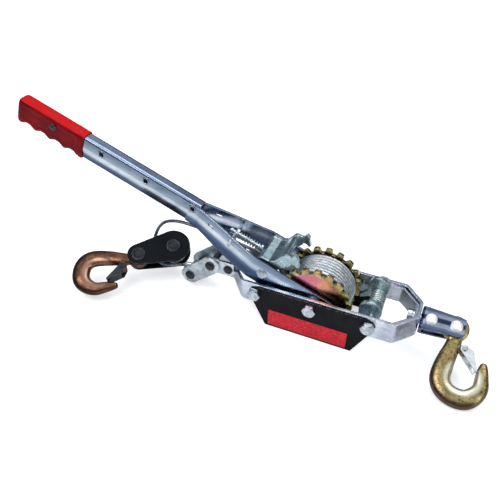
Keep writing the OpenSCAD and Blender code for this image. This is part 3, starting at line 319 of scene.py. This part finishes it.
def wheel_material():
    """Yellow chromate: rainbow tint on the faces, olive gold on the teeth."""
    g = Graph("gold_wheel")
    normal, mask = g.edge(0.0008)
    where = g.add("ShaderNodeSeparateXYZ")
    g.put(where.inputs[0], g.pos)
    facing = g.add("ShaderNodeSeparateXYZ")
    g.put(facing.inputs[0], g.add("ShaderNodeTexCoord").outputs["Normal"])
    side = g.ramp(g.math("ABSOLUTE", facing.outputs["Y"]), [(0.75, 0.0), (0.95, 1.0)])
    drift = g.math("MULTIPLY", g.noise(30, 3.0, 0.5, warp=0.5), 0.35)
    # two ramps of tint run out from the axle, one to the front and one to the rear
    front = g.ramp(g.math("ADD", g.math("MULTIPLY", where.outputs["X"], 9.0), drift),
                   [(0.0, (0.66, 0.20, 0.34)), (0.12, (0.72, 0.24, 0.26)), (0.28, (0.74, 0.32, 0.18)),
                    (0.42, (0.30, 0.15, 0.09)), (0.60, (0.16, 0.12, 0.06))])
    rear = g.ramp(g.math("ADD", g.math("MULTIPLY", where.outputs["X"], -9.0), drift),
                  [(0.15, (0.70, 0.22, 0.26)), (0.5, (0.62, 0.16, 0.40))])
    face = g.mix(g.ramp(where.outputs["X"], [(0.0, 1.0), (0.0005, 0.0)], False), front, rear)
    cloud = g.noise(110, 4.0, 0.6)
    rim = g.ramp(cloud, [(0.30, (0.22, 0.20, 0.07)), (0.50, (0.50, 0.42, 0.15)), (0.68, (0.74, 0.64, 0.36))])
    c = g.mix(side, rim, face)
    teeth = g.ramp(g.math("MULTIPLY", g.from_axle(), 10.0), [(0.40, 0.0), (0.45, 1.0)])
    c = g.mix(g.math("MULTIPLY", teeth, 0.85), c, rim)
    # painted highlight along the edges
    c = g.mix(g.math("MULTIPLY", mask, 0.7), c, (0.95, 0.86, 0.60))
    fine = g.noise(800, 3.0, 0.6)
    r = g.ramp(cloud, [(0.3, 0.34), (0.7, 0.16)])
    return g.finish(c, 1.0, r, g.bump(fine, 0.12, 0.00012, normal))


WHEEL = wheel_material()


def paint(name, base, other, rough, coat, specular, scale=60, bump=0.15, bevel=0.0008, chip=None, speck=None,
          top=None):
    """Paint or plastic over a base: slight colour drift, orange peel, worn edges.

    chip is (colour, strength) at the edges, speck is (scale, colour, strength, stretch), and top is (upward
    direction, colour of the faces that look that way): painted light that makes the upward faces lighter.
    """
    g = Graph(name)
    normal, mask = g.edge(bevel)
    cloud = g.noise(scale, 4.0, 0.6)
    peel = g.noise(420, 2.0, 0.5)
    c = g.mix(g.ramp(cloud, [(0.35, 0.0), (0.65, 1.0)]), base, other)
    if speck:
        fleck = g.noise(speck[0], 2.0, 0.5, speck[3])
        c = g.mix(g.ramp(fleck, [(0.50, 0.0), (0.60, speck[2])]), c, speck[1])
    # painted light: faces that look up are lighter
    if top:
        facing = g.vector("DOT_PRODUCT", g.add("ShaderNodeTexCoord").outputs["Normal"], top[0])
        c = g.mix(g.ramp(facing, [(0.35, 0.0), (0.85, 1.0)]), c, top[1])
    if chip:
        worn = g.ramp(g.noise(240, 4.0, 0.7), [(0.42, 0.0), (0.56, 1.0)])
        c = g.mix(g.math("MULTIPLY", g.math("MULTIPLY", mask, worn), chip[1]), c, chip[0])
    r = g.ramp(cloud, [(0.3, rough[1]), (0.7, rough[0])])
    return g.finish(c, 0.0, r, g.bump(peel, bump, 0.0001, normal), coat, specular)


BLACK = paint("black_paint", (0.0015, 0.0022, 0.0036), (0.004, 0.006, 0.010), (0.28, 0.42), 0.02, 0.13,
              chip=((0.45, 0.48, 0.52), 0.8))
BLACK_PIN = paint("black_pin", (0.007, 0.010, 0.014), (0.022, 0.029, 0.037), (0.22, 0.4), 0.1, 0.35,
                  scale=200, chip=((0.40, 0.42, 0.45), 0.9))
LABEL = paint("red_panel", (0.82, 0.010, 0.032), (0.66, 0.006, 0.020), (0.34, 0.5), 0.05, 0.22,
              speck=(520, (0.88, 0.14, 0.17), 0.4, (1, 1, 1.6)))
# the grip's upward faces are lighter red: painted light
GRIP = paint("red_grip", (0.27, 0.002, 0.006), (0.17, 0.001, 0.004), (0.34, 0.50), 0.02, 0.12,
             scale=35, bump=0.25, bevel=0.0012, top=(LEVER_UP, (0.60, 0.003, 0.006)))
# the grip's rivet is dark: painted shade in its hole
RIVET_SHADE = plated("rivet_painted_shade", (0.10, 0.09, 0.10), (0.03, 0.03, 0.035), (0.75, 0.75, 0.78), (0.2, 0.4), 200, 0.3,
                    bevel=0.0006)

# looks of the CAD nodes that are drawn as they are
LOOKS = (
    (ZINC, ("frame_strap", "front_stiffener", "spring_bridge")),
    (ZINC_BOLT, ("axle_bolt", "end_bolts", "frame_nuts", "rear_spacer", "axle_washers", "drive_pawl_pin",
                 "spring_rod", "swivel_stud", "swivel_washer", "front_latch_rivet", "rope_ferrule")),
    (ZINC_LEVER, ("lever",)),
    (ZINC_LINK, ("swivel_link",)),
    (DOME_HIGHLIGHT, ("stud_rivet", "front_hook_rivet")),
    (SILVER, ("front_latch",)),
    (GREEN, ("near_end_plate", "far_end_plate")),
    (TEAL, ("drive_pawl", "holding_pawl", "sheave")),
    (WHEEL, ("near_ratchet_wheel", "far_ratchet_wheel")),
    (GOLD_BARREL, ("drum_barrel",)),
    (BRONZE_BUSH, ("sheave_bush",)),
    (ROPE_SHADE, ("rope_inner_layers",)),
    (RIVET_SHADE, ("grip_rivet",)),
    (LABEL, ("label_panel",)),
    (BLACK, ("near_side_plate", "far_side_plate", "near_block_plate", "far_block_plate")),
    (BLACK_PIN, ("ear_rivet", "anchor_pin", "rope_pin", "sheave_pin", "block_hook_pin", "rear_latch_rivet",
                 "rear_latch")),
)
for look, nodes in LOOKS:
    for node in nodes:
        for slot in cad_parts[node].material_slots:
            slot.material = look


# ------------------------------------------------------------------ mesh helpers
def make(name, verts, faces, mat, body=None, slot=None, smooth=True, matrix=None):
    """A new object from points in millimetres. With a body it rides that body; slot is not used."""
    me = bpy.data.meshes.new(name)
    v = np.asarray(verts, float) * MM
    me.from_pydata(v.tolist(), [], [tuple(f) for f in faces])
    if matrix is not None:
        me.transform(matrix)
    me.validate()
    me.update()
    bm = bmesh.new()
    bm.from_mesh(me)
    bmesh.ops.recalc_face_normals(bm, faces=bm.faces)
    bm.to_mesh(me)
    bm.free()
    for p in me.polygons:
        p.use_smooth = smooth
    me.materials.append(mat)
    ob = bpy.data.objects.new(name, me)
    bpy.context.scene.collection.objects.link(ob)
    if body:
        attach(ob, body)
    return ob


def frames(p, start):
    """Tangents and side vectors carried along the points without twisting."""
    t = np.gradient(p, axis=0)
    t /= np.linalg.norm(t, axis=1)[:, None]
    a = np.zeros_like(p)
    v = np.array(start, float)
    for i in range(len(p)):
        v = v - t[i] * (v @ t[i])
        v /= np.linalg.norm(v)
        a[i] = v
    return t, a, np.cross(t, a)


def around(n):
    """n angles round a circle."""
    return np.arange(n) * 2 * np.pi / n


def skin(rings, n):
    """Faces over rings of n points each, closed at both ends."""
    f = [(i * n + j, i * n + (j + 1) % n, (i + 1) * n + (j + 1) % n, (i + 1) * n + j)
         for i in range(rings - 1) for j in range(n)]
    return f + [tuple(range(n)), tuple(range((rings - 1) * n, rings * n))]


def rounded_box(n, power):
    """Points round a unit circle, pushed out towards a square as the power falls from 1 to 0."""
    ca, sa = np.cos(around(n)), np.sin(around(n))
    return np.sign(ca) * np.abs(ca) ** power, np.sign(sa) * np.abs(sa) ** power


def tube(p, radius, sides, start=(0, 0, 1)):
    """A round rod along the points."""
    _, a, b = frames(p, start)
    ang = around(sides)
    v = (p[:, None] + radius * (np.cos(ang)[None, :, None] * a[:, None]
                                + np.sin(ang)[None, :, None] * b[:, None])).reshape(-1, 3)
    return v, skin(len(p), sides)


def join(parts):
    """Several (points, faces) as one."""
    vs, fs, k = [], [], 0
    for v, f in parts:
        vs.append(np.asarray(v, float))
        fs += [tuple(i + k for i in q) for q in f]
        k += len(v)
    return np.vstack(vs), fs


def spline(p, n):
    """A smooth line through the points, with n steps from each to the next."""
    p = np.asarray(p, float)
    out = []
    for i in range(len(p) - 1):
        a, b, c, d = p[max(i - 1, 0)], p[i], p[i + 1], p[min(i + 2, len(p) - 1)]
        for k in range(n):
            t = k / n
            out.append(0.5 * (2 * b + (c - a) * t + (2 * a - 5 * b + 4 * c - d) * t * t
                              + (3 * b - 3 * c + d - a) * t ** 3))
    out.append(p[-1])
    return np.array(out)


def reach(p):
    """Length of the line up to each of its points."""
    return np.r_[0, np.cumsum(np.linalg.norm(np.diff(p, axis=0), axis=1))]


def even(p, step):
    """The same line with points a fixed step apart."""
    s = reach(p)
    q = np.linspace(0, s[-1], max(2, int(s[-1] / step)) + 1)
    return np.stack([np.interp(q, s, p[:, k]) for k in range(3)], 1)


def stranded(p, sides):
    """Wire rope: six strands laid round a core."""
    start = (0, 1, 0)
    p = even(p, ROPE_STEP)
    _, a, b = frames(p, start)
    parts = [tube(p, ROPE_D / 6 * 1.05, 6, start)]
    for k in range(STRANDS):
        w = 2 * np.pi * (k / STRANDS + reach(p) / ROPE_LAY)
        q = p + ROPE_D / 3 * (np.cos(w)[:, None] * a + np.sin(w)[:, None] * b)
        parts.append(tube(q, ROPE_D / 6, sides, start))
    return join(parts)


def lathe(profile, n):
    """Turns a closed outline of (radius, height) about Z."""
    k = len(profile)
    v = [(r * math.cos(t), r * math.sin(t), h) for t in around(n) for r, h in profile]
    f = [(i * k + j, (i + 1) % n * k + j, (i + 1) % n * k + (j + 1) % k, i * k + (j + 1) % k)
         for i in range(n) for j in range(k)]
    return np.array(v), f


# ------------------------------------------------------------------ rope
ROPE_D = 4.8
STRANDS = 6
ROPE_LAY = 33  # along the rope for one turn of a strand
ROPE_STEP = 1.8
WIND_R = 42.1
WIND_PITCH = 5.25
WIND_LOOPS = 7
WIND_HALF = WIND_PITCH * WIND_LOOPS / 2
WIND_END = 6  # radius of the bend at which the rope comes up from the lower layers
LEAVE = math.radians(225)  # angle at which the rope leaves the drum
LOOP_STEPS = 144


def on_drum(out, over, y):
    """A point out from the axle at the angle LEAVE, and over to the side of it."""
    return (out * math.cos(LEAVE) - over * math.sin(LEAVE), y, out * math.sin(LEAVE) + over * math.cos(LEAVE))


wind = [on_drum(WIND_R - 2 * WIND_END, WIND_END, -WIND_HALF),
        on_drum(WIND_R - WIND_END - 0.5, WIND_END, -WIND_HALF)]
for k in range(1, 8):
    w = math.radians(90 * k / 8)
    wind.append(on_drum(WIND_R - WIND_END + WIND_END * math.sin(w), WIND_END * math.cos(w), -WIND_HALF))
for k in range(LOOP_STEPS * WIND_LOOPS + 1):
    w = LEAVE - 2 * math.pi * k / LOOP_STEPS
    wind.append((WIND_R * math.cos(w), -WIND_HALF + WIND_PITCH * k / LOOP_STEPS, WIND_R * math.sin(w)))
wind.append(on_drum(WIND_R, -5.7, WIND_HALF))  # straight on, to meet the free run
winding = make("rope_winding_strands", *stranded(np.array(wind) + (0, 0, AXLE), 6), ROPE, "drum", "wire_rope")
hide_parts("rope_winding")

# from the drum over the sheave and back to the ferrule
ROUTE = [
    (-34.3, 18.4, 25.3), (-46, 18, 37), (-60, 17, 50.5), (-75, 15, 62.5), (-97, 12, 73.5),
    (-122, 8, 82.5), (-150, 4, 90.5), (-180, 1, 96.5), (-207, 1, 97.5), (-230, 5, 88.5),
    (-245, 8, 73.5), (-252, 6, 57.5), (-249, -6, 47.5), (-240, -18, 39.5), (-225, -23, 33.5),
    (-210, -15, 31.5), (-199.4, -7.1, 28.9),
]
# the free run is dark: painted shade
run = make("rope_run_strands", *stranded(spline(ROUTE, 12), 7), ROPE_SHADE)
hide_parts("rope_run")
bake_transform(run)


# ------------------------------------------------------------------ springs
GAP = 0.4


def helix(r, length, curls, n=36):
    """A coil's line about Z, with n steps to a curl."""
    i = np.arange(n * curls + 1)
    a = 2 * np.pi * i / n
    return np.stack([r * np.cos(a), r * np.sin(a), length * i / (n * curls)], 1)


# the holding pawl's coil sits on a sleeve on the front end bolt, between the pawl and the side plate
BOLT_X = 75
WHEEL_OUT = 26.5  # outer face of a ratchet wheel
PAWL_T = 5
SLEEVE_R = 7
HOLD_R, HOLD_L = 1.1, 24.5  # the wire's radius and the coil's length
hold_from = WHEEL_OUT - PAWL_T - GAP - HOLD_L + HOLD_R
hold_line = helix((SLEEVE_R + GAP + HOLD_R) / math.cos(math.pi / 8), HOLD_L - 2 * HOLD_R, 6)
hold = make("holding_pawl_coil", *tube(hold_line, HOLD_R, 10), WIRE, "frame", "spring_steel",
            matrix=move(BOLT_X, hold_from, AXLE) @ rot(-90))
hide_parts("holding_pawl_spring")

# the drive pawl's coil sits on the rod, between the rod's collar and the bridge across the lever
PUSH_R, PUSH_COIL_R = 0.8, 4.7
PAWL_BOSS_R = 11
COLLAR_D, COLLAR_T = DRIVE_D + PAWL_BOSS_R + 5.7, 3.4
BRIDGE_D, BRIDGE_T, BRIDGE_Z = 132, 3, 9
SEAT_T, SNUG = 2, 0.1
push_from = COLLAR_D + COLLAR_T
push_to = BRIDGE_D - BRIDGE_T / 2 - SEAT_T - SNUG
push_line = helix(PUSH_COIL_R, push_to - push_from - 2 * PUSH_R, 8)
push = make("drive_pawl_coil", *tube(push_line, PUSH_R, 10), WIRE,
            matrix=IN_LEVER @ move(push_from + PUSH_R, 0, BRIDGE_Z) @ rot(0, 90, 0))
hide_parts("drive_pawl_spring")
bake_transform(push)

# ------------------------------------------------------------------ hooks
# Pin at the origin, bowl's middle on +X, the point on the +Y side.
BOWL_R = 13.25
HOOK_W, HOOK_T = 24.5, 15.0
EYE_HOLE_R = 5.05
BOSS = (27, 6.5, 0)  # carries the latch's rivet
BOSS_HALF = 7
LATCH_HOLE_R = 2.1
VOXEL = 0.8


def bowl_point(angle, w, t, out=0.0, dx=0.0, dy=0.0):
    """Middle of the stock at an angle round the bowl. w and t come off its half width and half thickness."""
    r = BOWL_R + HOOK_W / 2 + out
    a = math.radians(angle)
    return (HOOK_REACH + r * math.cos(a) + dx, r * math.sin(a) + dy, HOOK_W / 2 - w, HOOK_T / 2 - t)


# x, y, half width, half thickness
HOOK_LINE = [
    (6, 0, 8, 5.6), (17, -3.5, 9, 6), (29, -10.5, 10.2, 7),
    bowl_point(215, 1, 0.1, dy=-2), bowl_point(270, 0, 0), bowl_point(-50, 0, 0), bowl_point(0, 0.3, 0, -0.3),
    bowl_point(50, 2.6, 0, -2.4), bowl_point(90, 4.3, 0.6, -3.3), bowl_point(90, 5.7, 1.6, -0.8, dx=-9),
    bowl_point(90, 8, 3, 1.4, dx=-15.5),
]


def apply_modifiers(ob):
    me = bpy.data.meshes.new_from_object(ob.evaluated_get(bpy.context.evaluated_depsgraph_get()))
    ob.modifiers.clear()
    ob.data = me


def cut(ob, parts):
    tool = make("cutter", *join(parts), GOLD, smooth=False)
    mod = ob.modifiers.new("cut", "BOOLEAN")
    mod.operation = "DIFFERENCE"
    mod.object = tool
    mod.solver = "EXACT"
    mod.use_self = True
    apply_modifiers(ob)
    bpy.data.objects.remove(tool)


def rod(at, r, low, high, n=40):
    """A cutter for a round hole, or for a flat face on a boss."""
    v, f = lathe([(0.001, high), (r, high), (r, low), (0.001, low)], n)
    return v + at, f


def hook_blank():
    """The forged stock, its eye and its latch boss as one remeshed skin, then bored."""
    line = spline(HOOK_LINE, 9)
    for _ in range(10):
        line[1:-1] = (line[:-2] + 2 * line[1:-1] + line[2:]) / 4
    t = np.gradient(line[:, :2], axis=0)
    t /= np.linalg.norm(t, axis=1)[:, None]
    n = 28
    ca, sa = rounded_box(n, 0.88)
    rings = [np.stack([x - ty * w * ca, y + tx * w * ca, h * sa], 1) for (x, y, w, h), (tx, ty) in zip(line, t)]
    # round the point off
    last = rings[-1]
    tip = last.mean(0)
    for size, ahead in ((0.92, 0.9), (0.72, 1.9), (0.42, 2.5)):
        rings.append(tip + (last - tip) * size + np.array([*t[-1], 0]) * ahead)
    stock = np.vstack(rings), skin(len(rings), n)
    eye = lathe([(0.001, 5.5), (13.5, 5.5), (15.4, 4.8), (16.3, 3.2), (16.5, 0), (16.3, -3.2), (15.4, -4.8),
                 (13.5, -5.5), (0.001, -5.5)], 64)
    v, f = lathe([(0.001, BOSS_HALF), (5.0, BOSS_HALF), (5.5, 6.4), (5.5, -6.4), (5.0, -BOSS_HALF),
                  (0.001, -BOSS_HALF)], 32)
    ob = make("hook_blank", *join([stock, eye, (v + BOSS, f)]), GOLD)
    remesh = ob.modifiers.new("skin", "REMESH")
    remesh.mode = "VOXEL"
    remesh.voxel_size = VOXEL * MM
    apply_modifiers(ob)
    soft = ob.modifiers.new("soft", "SMOOTH")
    soft.factor = 0.5
    soft.iterations = 14
    apply_modifiers(ob)
    cut(ob, [rod((0, 0, 0), EYE_HOLE_R, -30, 30)])
    cut(ob, [rod(BOSS, 8, BOSS_HALF, 12), rod(BOSS, 8, -12, -BOSS_HALF)])
    cut(ob, [rod(BOSS, LATCH_HOLE_R, -30, 30, 24)])
    return ob


def hook(blank, name, material, place, node):
    me = blank.data.copy()
    me.name = name
    me.transform(place)
    me.materials.clear()
    me.materials.append(material)
    for p in me.polygons:
        p.use_smooth = True
    ob = bpy.data.objects.new(name, me)
    bpy.context.scene.collection.objects.link(ob)
    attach(ob, node)
    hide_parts(node)


forging = hook_blank()
hook(forging, "front_hook_forging", GOLD, IN_FRONT_HOOK, "front_hook")
hook(forging, "rear_hook_forging", BRONZE, IN_REAR_HOOK, "rear_hook")
bpy.data.objects.remove(forging)

# ------------------------------------------------------------------ grip
LEVER_LEN = 464.0
GRIP_COVER = 95.5  # how much of the lever is inside the grip
GRIP_L, GRIP_H, GRIP_W = 104.5, 39.0, 22.0
GRIP_MID = 25.0 - GRIP_H / 2  # middle of its height, over the lever's line
GRIP_ROUND = 7  # length of the rounded end
GRIP_POINTS = 56  # round it
LIP = 1.5  # length over which the open end draws in
GROOVE_FROM, GROOVE_TO = 5.5, 7.5  # a shallow ring behind the open end
PANEL = 9  # from the side panel to either end
FINGER_PITCH = 23.5
FINGERS = 4
FINGER_DEPTH = 5.0


def grip_ring(s):
    """Points round the grip at s from its open end."""
    from_fingers = s - GRIP_L / 2 + FINGERS * FINGER_PITCH / 2
    hollow = 0.0
    if 0 < from_fingers < FINGERS * FINGER_PITCH:
        off = from_fingers % FINGER_PITCH / FINGER_PITCH - 0.5
        hollow = FINGER_DEPTH * max(0.0, math.cos(math.pi * off)) ** 1.6
    groove = 0.0
    if GROOVE_FROM < s < GROOVE_TO:
        groove = 0.7 * math.sin(math.pi * (s - GROOVE_FROM) / (GROOVE_TO - GROOVE_FROM))
    end = 1.0
    if s < LIP:
        end = 1 - 0.07 * (1 - s / LIP) ** 2
    elif s > GRIP_L - GRIP_ROUND:
        k = (s - GRIP_L + GRIP_ROUND) / GRIP_ROUND
        end = math.sqrt(1 - 0.62 * k ** 4) if k < 1 else 0.60
    cy, cz = rounded_box(GRIP_POINTS, 0.42)
    half_h = (GRIP_H - hollow) / 2 - groove
    y = (GRIP_W / 2 - groove) * cy * (1 - 0.03 * np.abs(cz) ** 6)
    z = half_h * cz
    # a sunk panel on each side
    if PANEL < s < GRIP_L - PANEL:
        inset = 0.8 * min(1.0, (s - PANEL) / 2, (GRIP_L - PANEL - s) / 2)
        y = np.where(np.abs(z) < half_h - 7.5, np.sign(y) * (np.abs(y) - inset), y)
    less = 0.9 * (1 - end)
    return np.stack([np.full(GRIP_POINTS, s), y * (1 - 0.65 * less),
                     GRIP_MID + hollow / 2 + z * (1 - 0.5 * less)], 1)


stations = np.unique(np.r_[np.linspace(0, 4, 7), np.linspace(4, GRIP_L - GRIP_ROUND, 100),
                           np.linspace(GRIP_L - GRIP_ROUND, GRIP_L, 12)])
grip = make("grip_sleeve", np.vstack([grip_ring(s) for s in stations]), skin(len(stations), GRIP_POINTS), GRIP,
            "lever", "red_plastic", matrix=IN_LEVER @ move(LEVER_LEN - GRIP_COVER, 0, 0))
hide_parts("lever_grip")

# ------------------------------------------------------------------ small pressed details
# rims round the holes in the lever's sides
HOLES = (197.5, 270, 340)  # from the axle
HOLE_Z = 13
LEVER_HALF = 9
parts = []
for d in HOLES:
    for side in (-1, 1):
        v, f = lathe([(3.5, -0.2), (3.6, 0.55), (4.4, 0.85), (5.4, 0.55), (6.0, -0.2)], 32)
        parts.append((np.stack([v[:, 0] + d, side * (LEVER_HALF + v[:, 2]), v[:, 1] + HOLE_Z], 1), f))
make("lever_hole_rims", *join(parts), ZINC_LEVER, "lever", "zinc", matrix=IN_LEVER)

# collars round the block's two pins, on the cheek plates
BLOCK_HALF = 11
parts = []
for x in (0, BLOCK_PITCH):
    for side in (-1, 1):
        v, f = lathe([(6.6, -0.1), (6.7, 0.35), (7.3, 0.55), (8.4, 0.45), (9.2, 0.2), (9.6, -0.1)], 40)
        parts.append((np.stack([v[:, 0] + x, v[:, 1], side * (BLOCK_HALF + v[:, 2])], 1), f))
make("block_pin_collars", *join(parts), BLACK_PIN, "block", "black_paint", matrix=IN_BLOCK)

# a raised ring where the drive pawl's cross rod is riveted over; its bright silver is a painted highlight on the
# edge
CROSS_ROD = (24, 20)  # from the drive pawl's pin
a = math.radians(LEVER_ANGLE)
v, f = lathe([(2.6, -0.2), (2.6, 0.3), (3.2, 0.9), (4.8, 0.9), (5.4, 0.5), (5.6, -0.2)], 36)
v = np.stack([v[:, 0] - DRIVE_D * math.cos(a) + CROSS_ROD[0], -(WHEEL_OUT + v[:, 2]),
              v[:, 1] + DRIVE_D * math.sin(a) + CROSS_ROD[1] + AXLE], 1)
make("pawl_rod_highlight_ring", v, f, SILVER, "drive_pawl", "pawl_zinc")

# ------------------------------------------------------------------ stage
me = bpy.data.meshes.new("floor")
me.from_pydata([(-6, -6, 0), (6, -6, 0), (6, 6, 0), (-6, 6, 0)], [], [(0, 1, 2, 3)])
floor = bpy.data.objects.new("floor", me)
bpy.context.scene.collection.objects.link(floor)
g = Graph("floor_white")
path = g.add("ShaderNodeLightPath")
white = g.add("ShaderNodeBsdfDiffuse")
g.put(white.inputs["Color"], (0.90, 0.905, 0.91))
glow = g.add("ShaderNodeEmission")
g.put(glow.inputs["Color"], (1, 1, 1))
glow.inputs["Strength"].default_value = 0.55
lit = g.add("ShaderNodeAddShader")
g.put(lit.inputs[0], white.outputs[0])
g.put(lit.inputs[1], glow.outputs[0])
# the camera sees the floor brighter than it lights the part
seen = g.add("ShaderNodeMixShader")
g.put(seen.inputs[0], g.math("MAXIMUM", path.outputs["Is Camera Ray"], path.outputs["Is Transmission Ray"]))
g.put(seen.inputs[1], white.outputs[0])
g.put(seen.inputs[2], lit.outputs[0])
g.put(g.out.inputs["Surface"], seen.outputs[0])
me.materials.append(g.mat)

world = bpy.data.worlds.new("studio")
bpy.context.scene.world = world
world.use_nodes = True
t = world.node_tree
t.nodes.clear()
out = t.nodes.new("ShaderNodeOutputWorld")
sky = t.nodes.new("ShaderNodeBackground")
ray = t.nodes.new("ShaderNodeTexCoord")
sep = t.nodes.new("ShaderNodeSeparateXYZ")
t.links.new(ray.outputs["Generated"], sep.inputs[0])
# 0 straight down, 1 straight up
height = t.nodes.new("ShaderNodeMath")
height.operation = "MULTIPLY_ADD"
height.inputs[1].default_value = 0.5
height.inputs[2].default_value = 0.5
t.links.new(sep.outputs["Z"], height.inputs[0])
ramp = t.nodes.new("ShaderNodeValToRGB")
e = ramp.color_ramp.elements
for p, c in ((0.50, (0.22, 0.25, 0.31)), (0.57, (0.16, 0.19, 0.25)), (0.64, (0.035, 0.045, 0.075)),
             (0.78, (0.06, 0.075, 0.115)), (0.85, (0.62, 0.65, 0.70)), (0.93, (0.80, 0.82, 0.86))):
    e.new(p).color = (*c, 1)
# the ramp's own first and last stops
e[0].color = (0.6, 0.6, 0.62, 1)
e[-1].color = (0.5, 0.52, 0.56, 1)
t.links.new(height.outputs[0], ramp.inputs[0])
# the camera sees plain white, the part reflects the ramp
path = t.nodes.new("ShaderNodeLightPath")
mix = t.nodes.new("ShaderNodeMix")
mix.data_type = "RGBA"
t.links.new(path.outputs["Is Camera Ray"], mix.inputs[0])
t.links.new(ramp.outputs[0], mix.inputs[6])
mix.inputs[7].default_value = (1, 1, 1, 1)
t.links.new(mix.outputs[2], sky.inputs["Color"])
sky.inputs["Strength"].default_value = 1.0
t.links.new(sky.outputs[0], out.inputs["Surface"])


def lamp(name, at, look, size, watts):
    """An area lamp turned to a point."""
    d = bpy.data.lights.new(name, "AREA")
    d.shape = "RECTANGLE"
    d.size, d.size_y = size
    d.energy = watts
    o = bpy.data.objects.new(name, d)
    o.location = at
    o.rotation_euler = (Vector(look) - Vector(at)).to_track_quat("-Z", "Y").to_euler()
    bpy.context.scene.collection.objects.link(o)


lamp("key", (-0.5, -0.7, 1.3), (-0.05, 0, 0.05), (0.9, 0.6), 7)
lamp("top", (0.2, 0.5, 1.5), (-0.05, 0, 0.05), (1.6, 0.5), 9)
lamp("right", (1.2, -0.6, 0.7), (0.0, 0, 0.05), (0.3, 0.9), 3)

bpy.context.scene.view_settings.view_transform = "Standard"
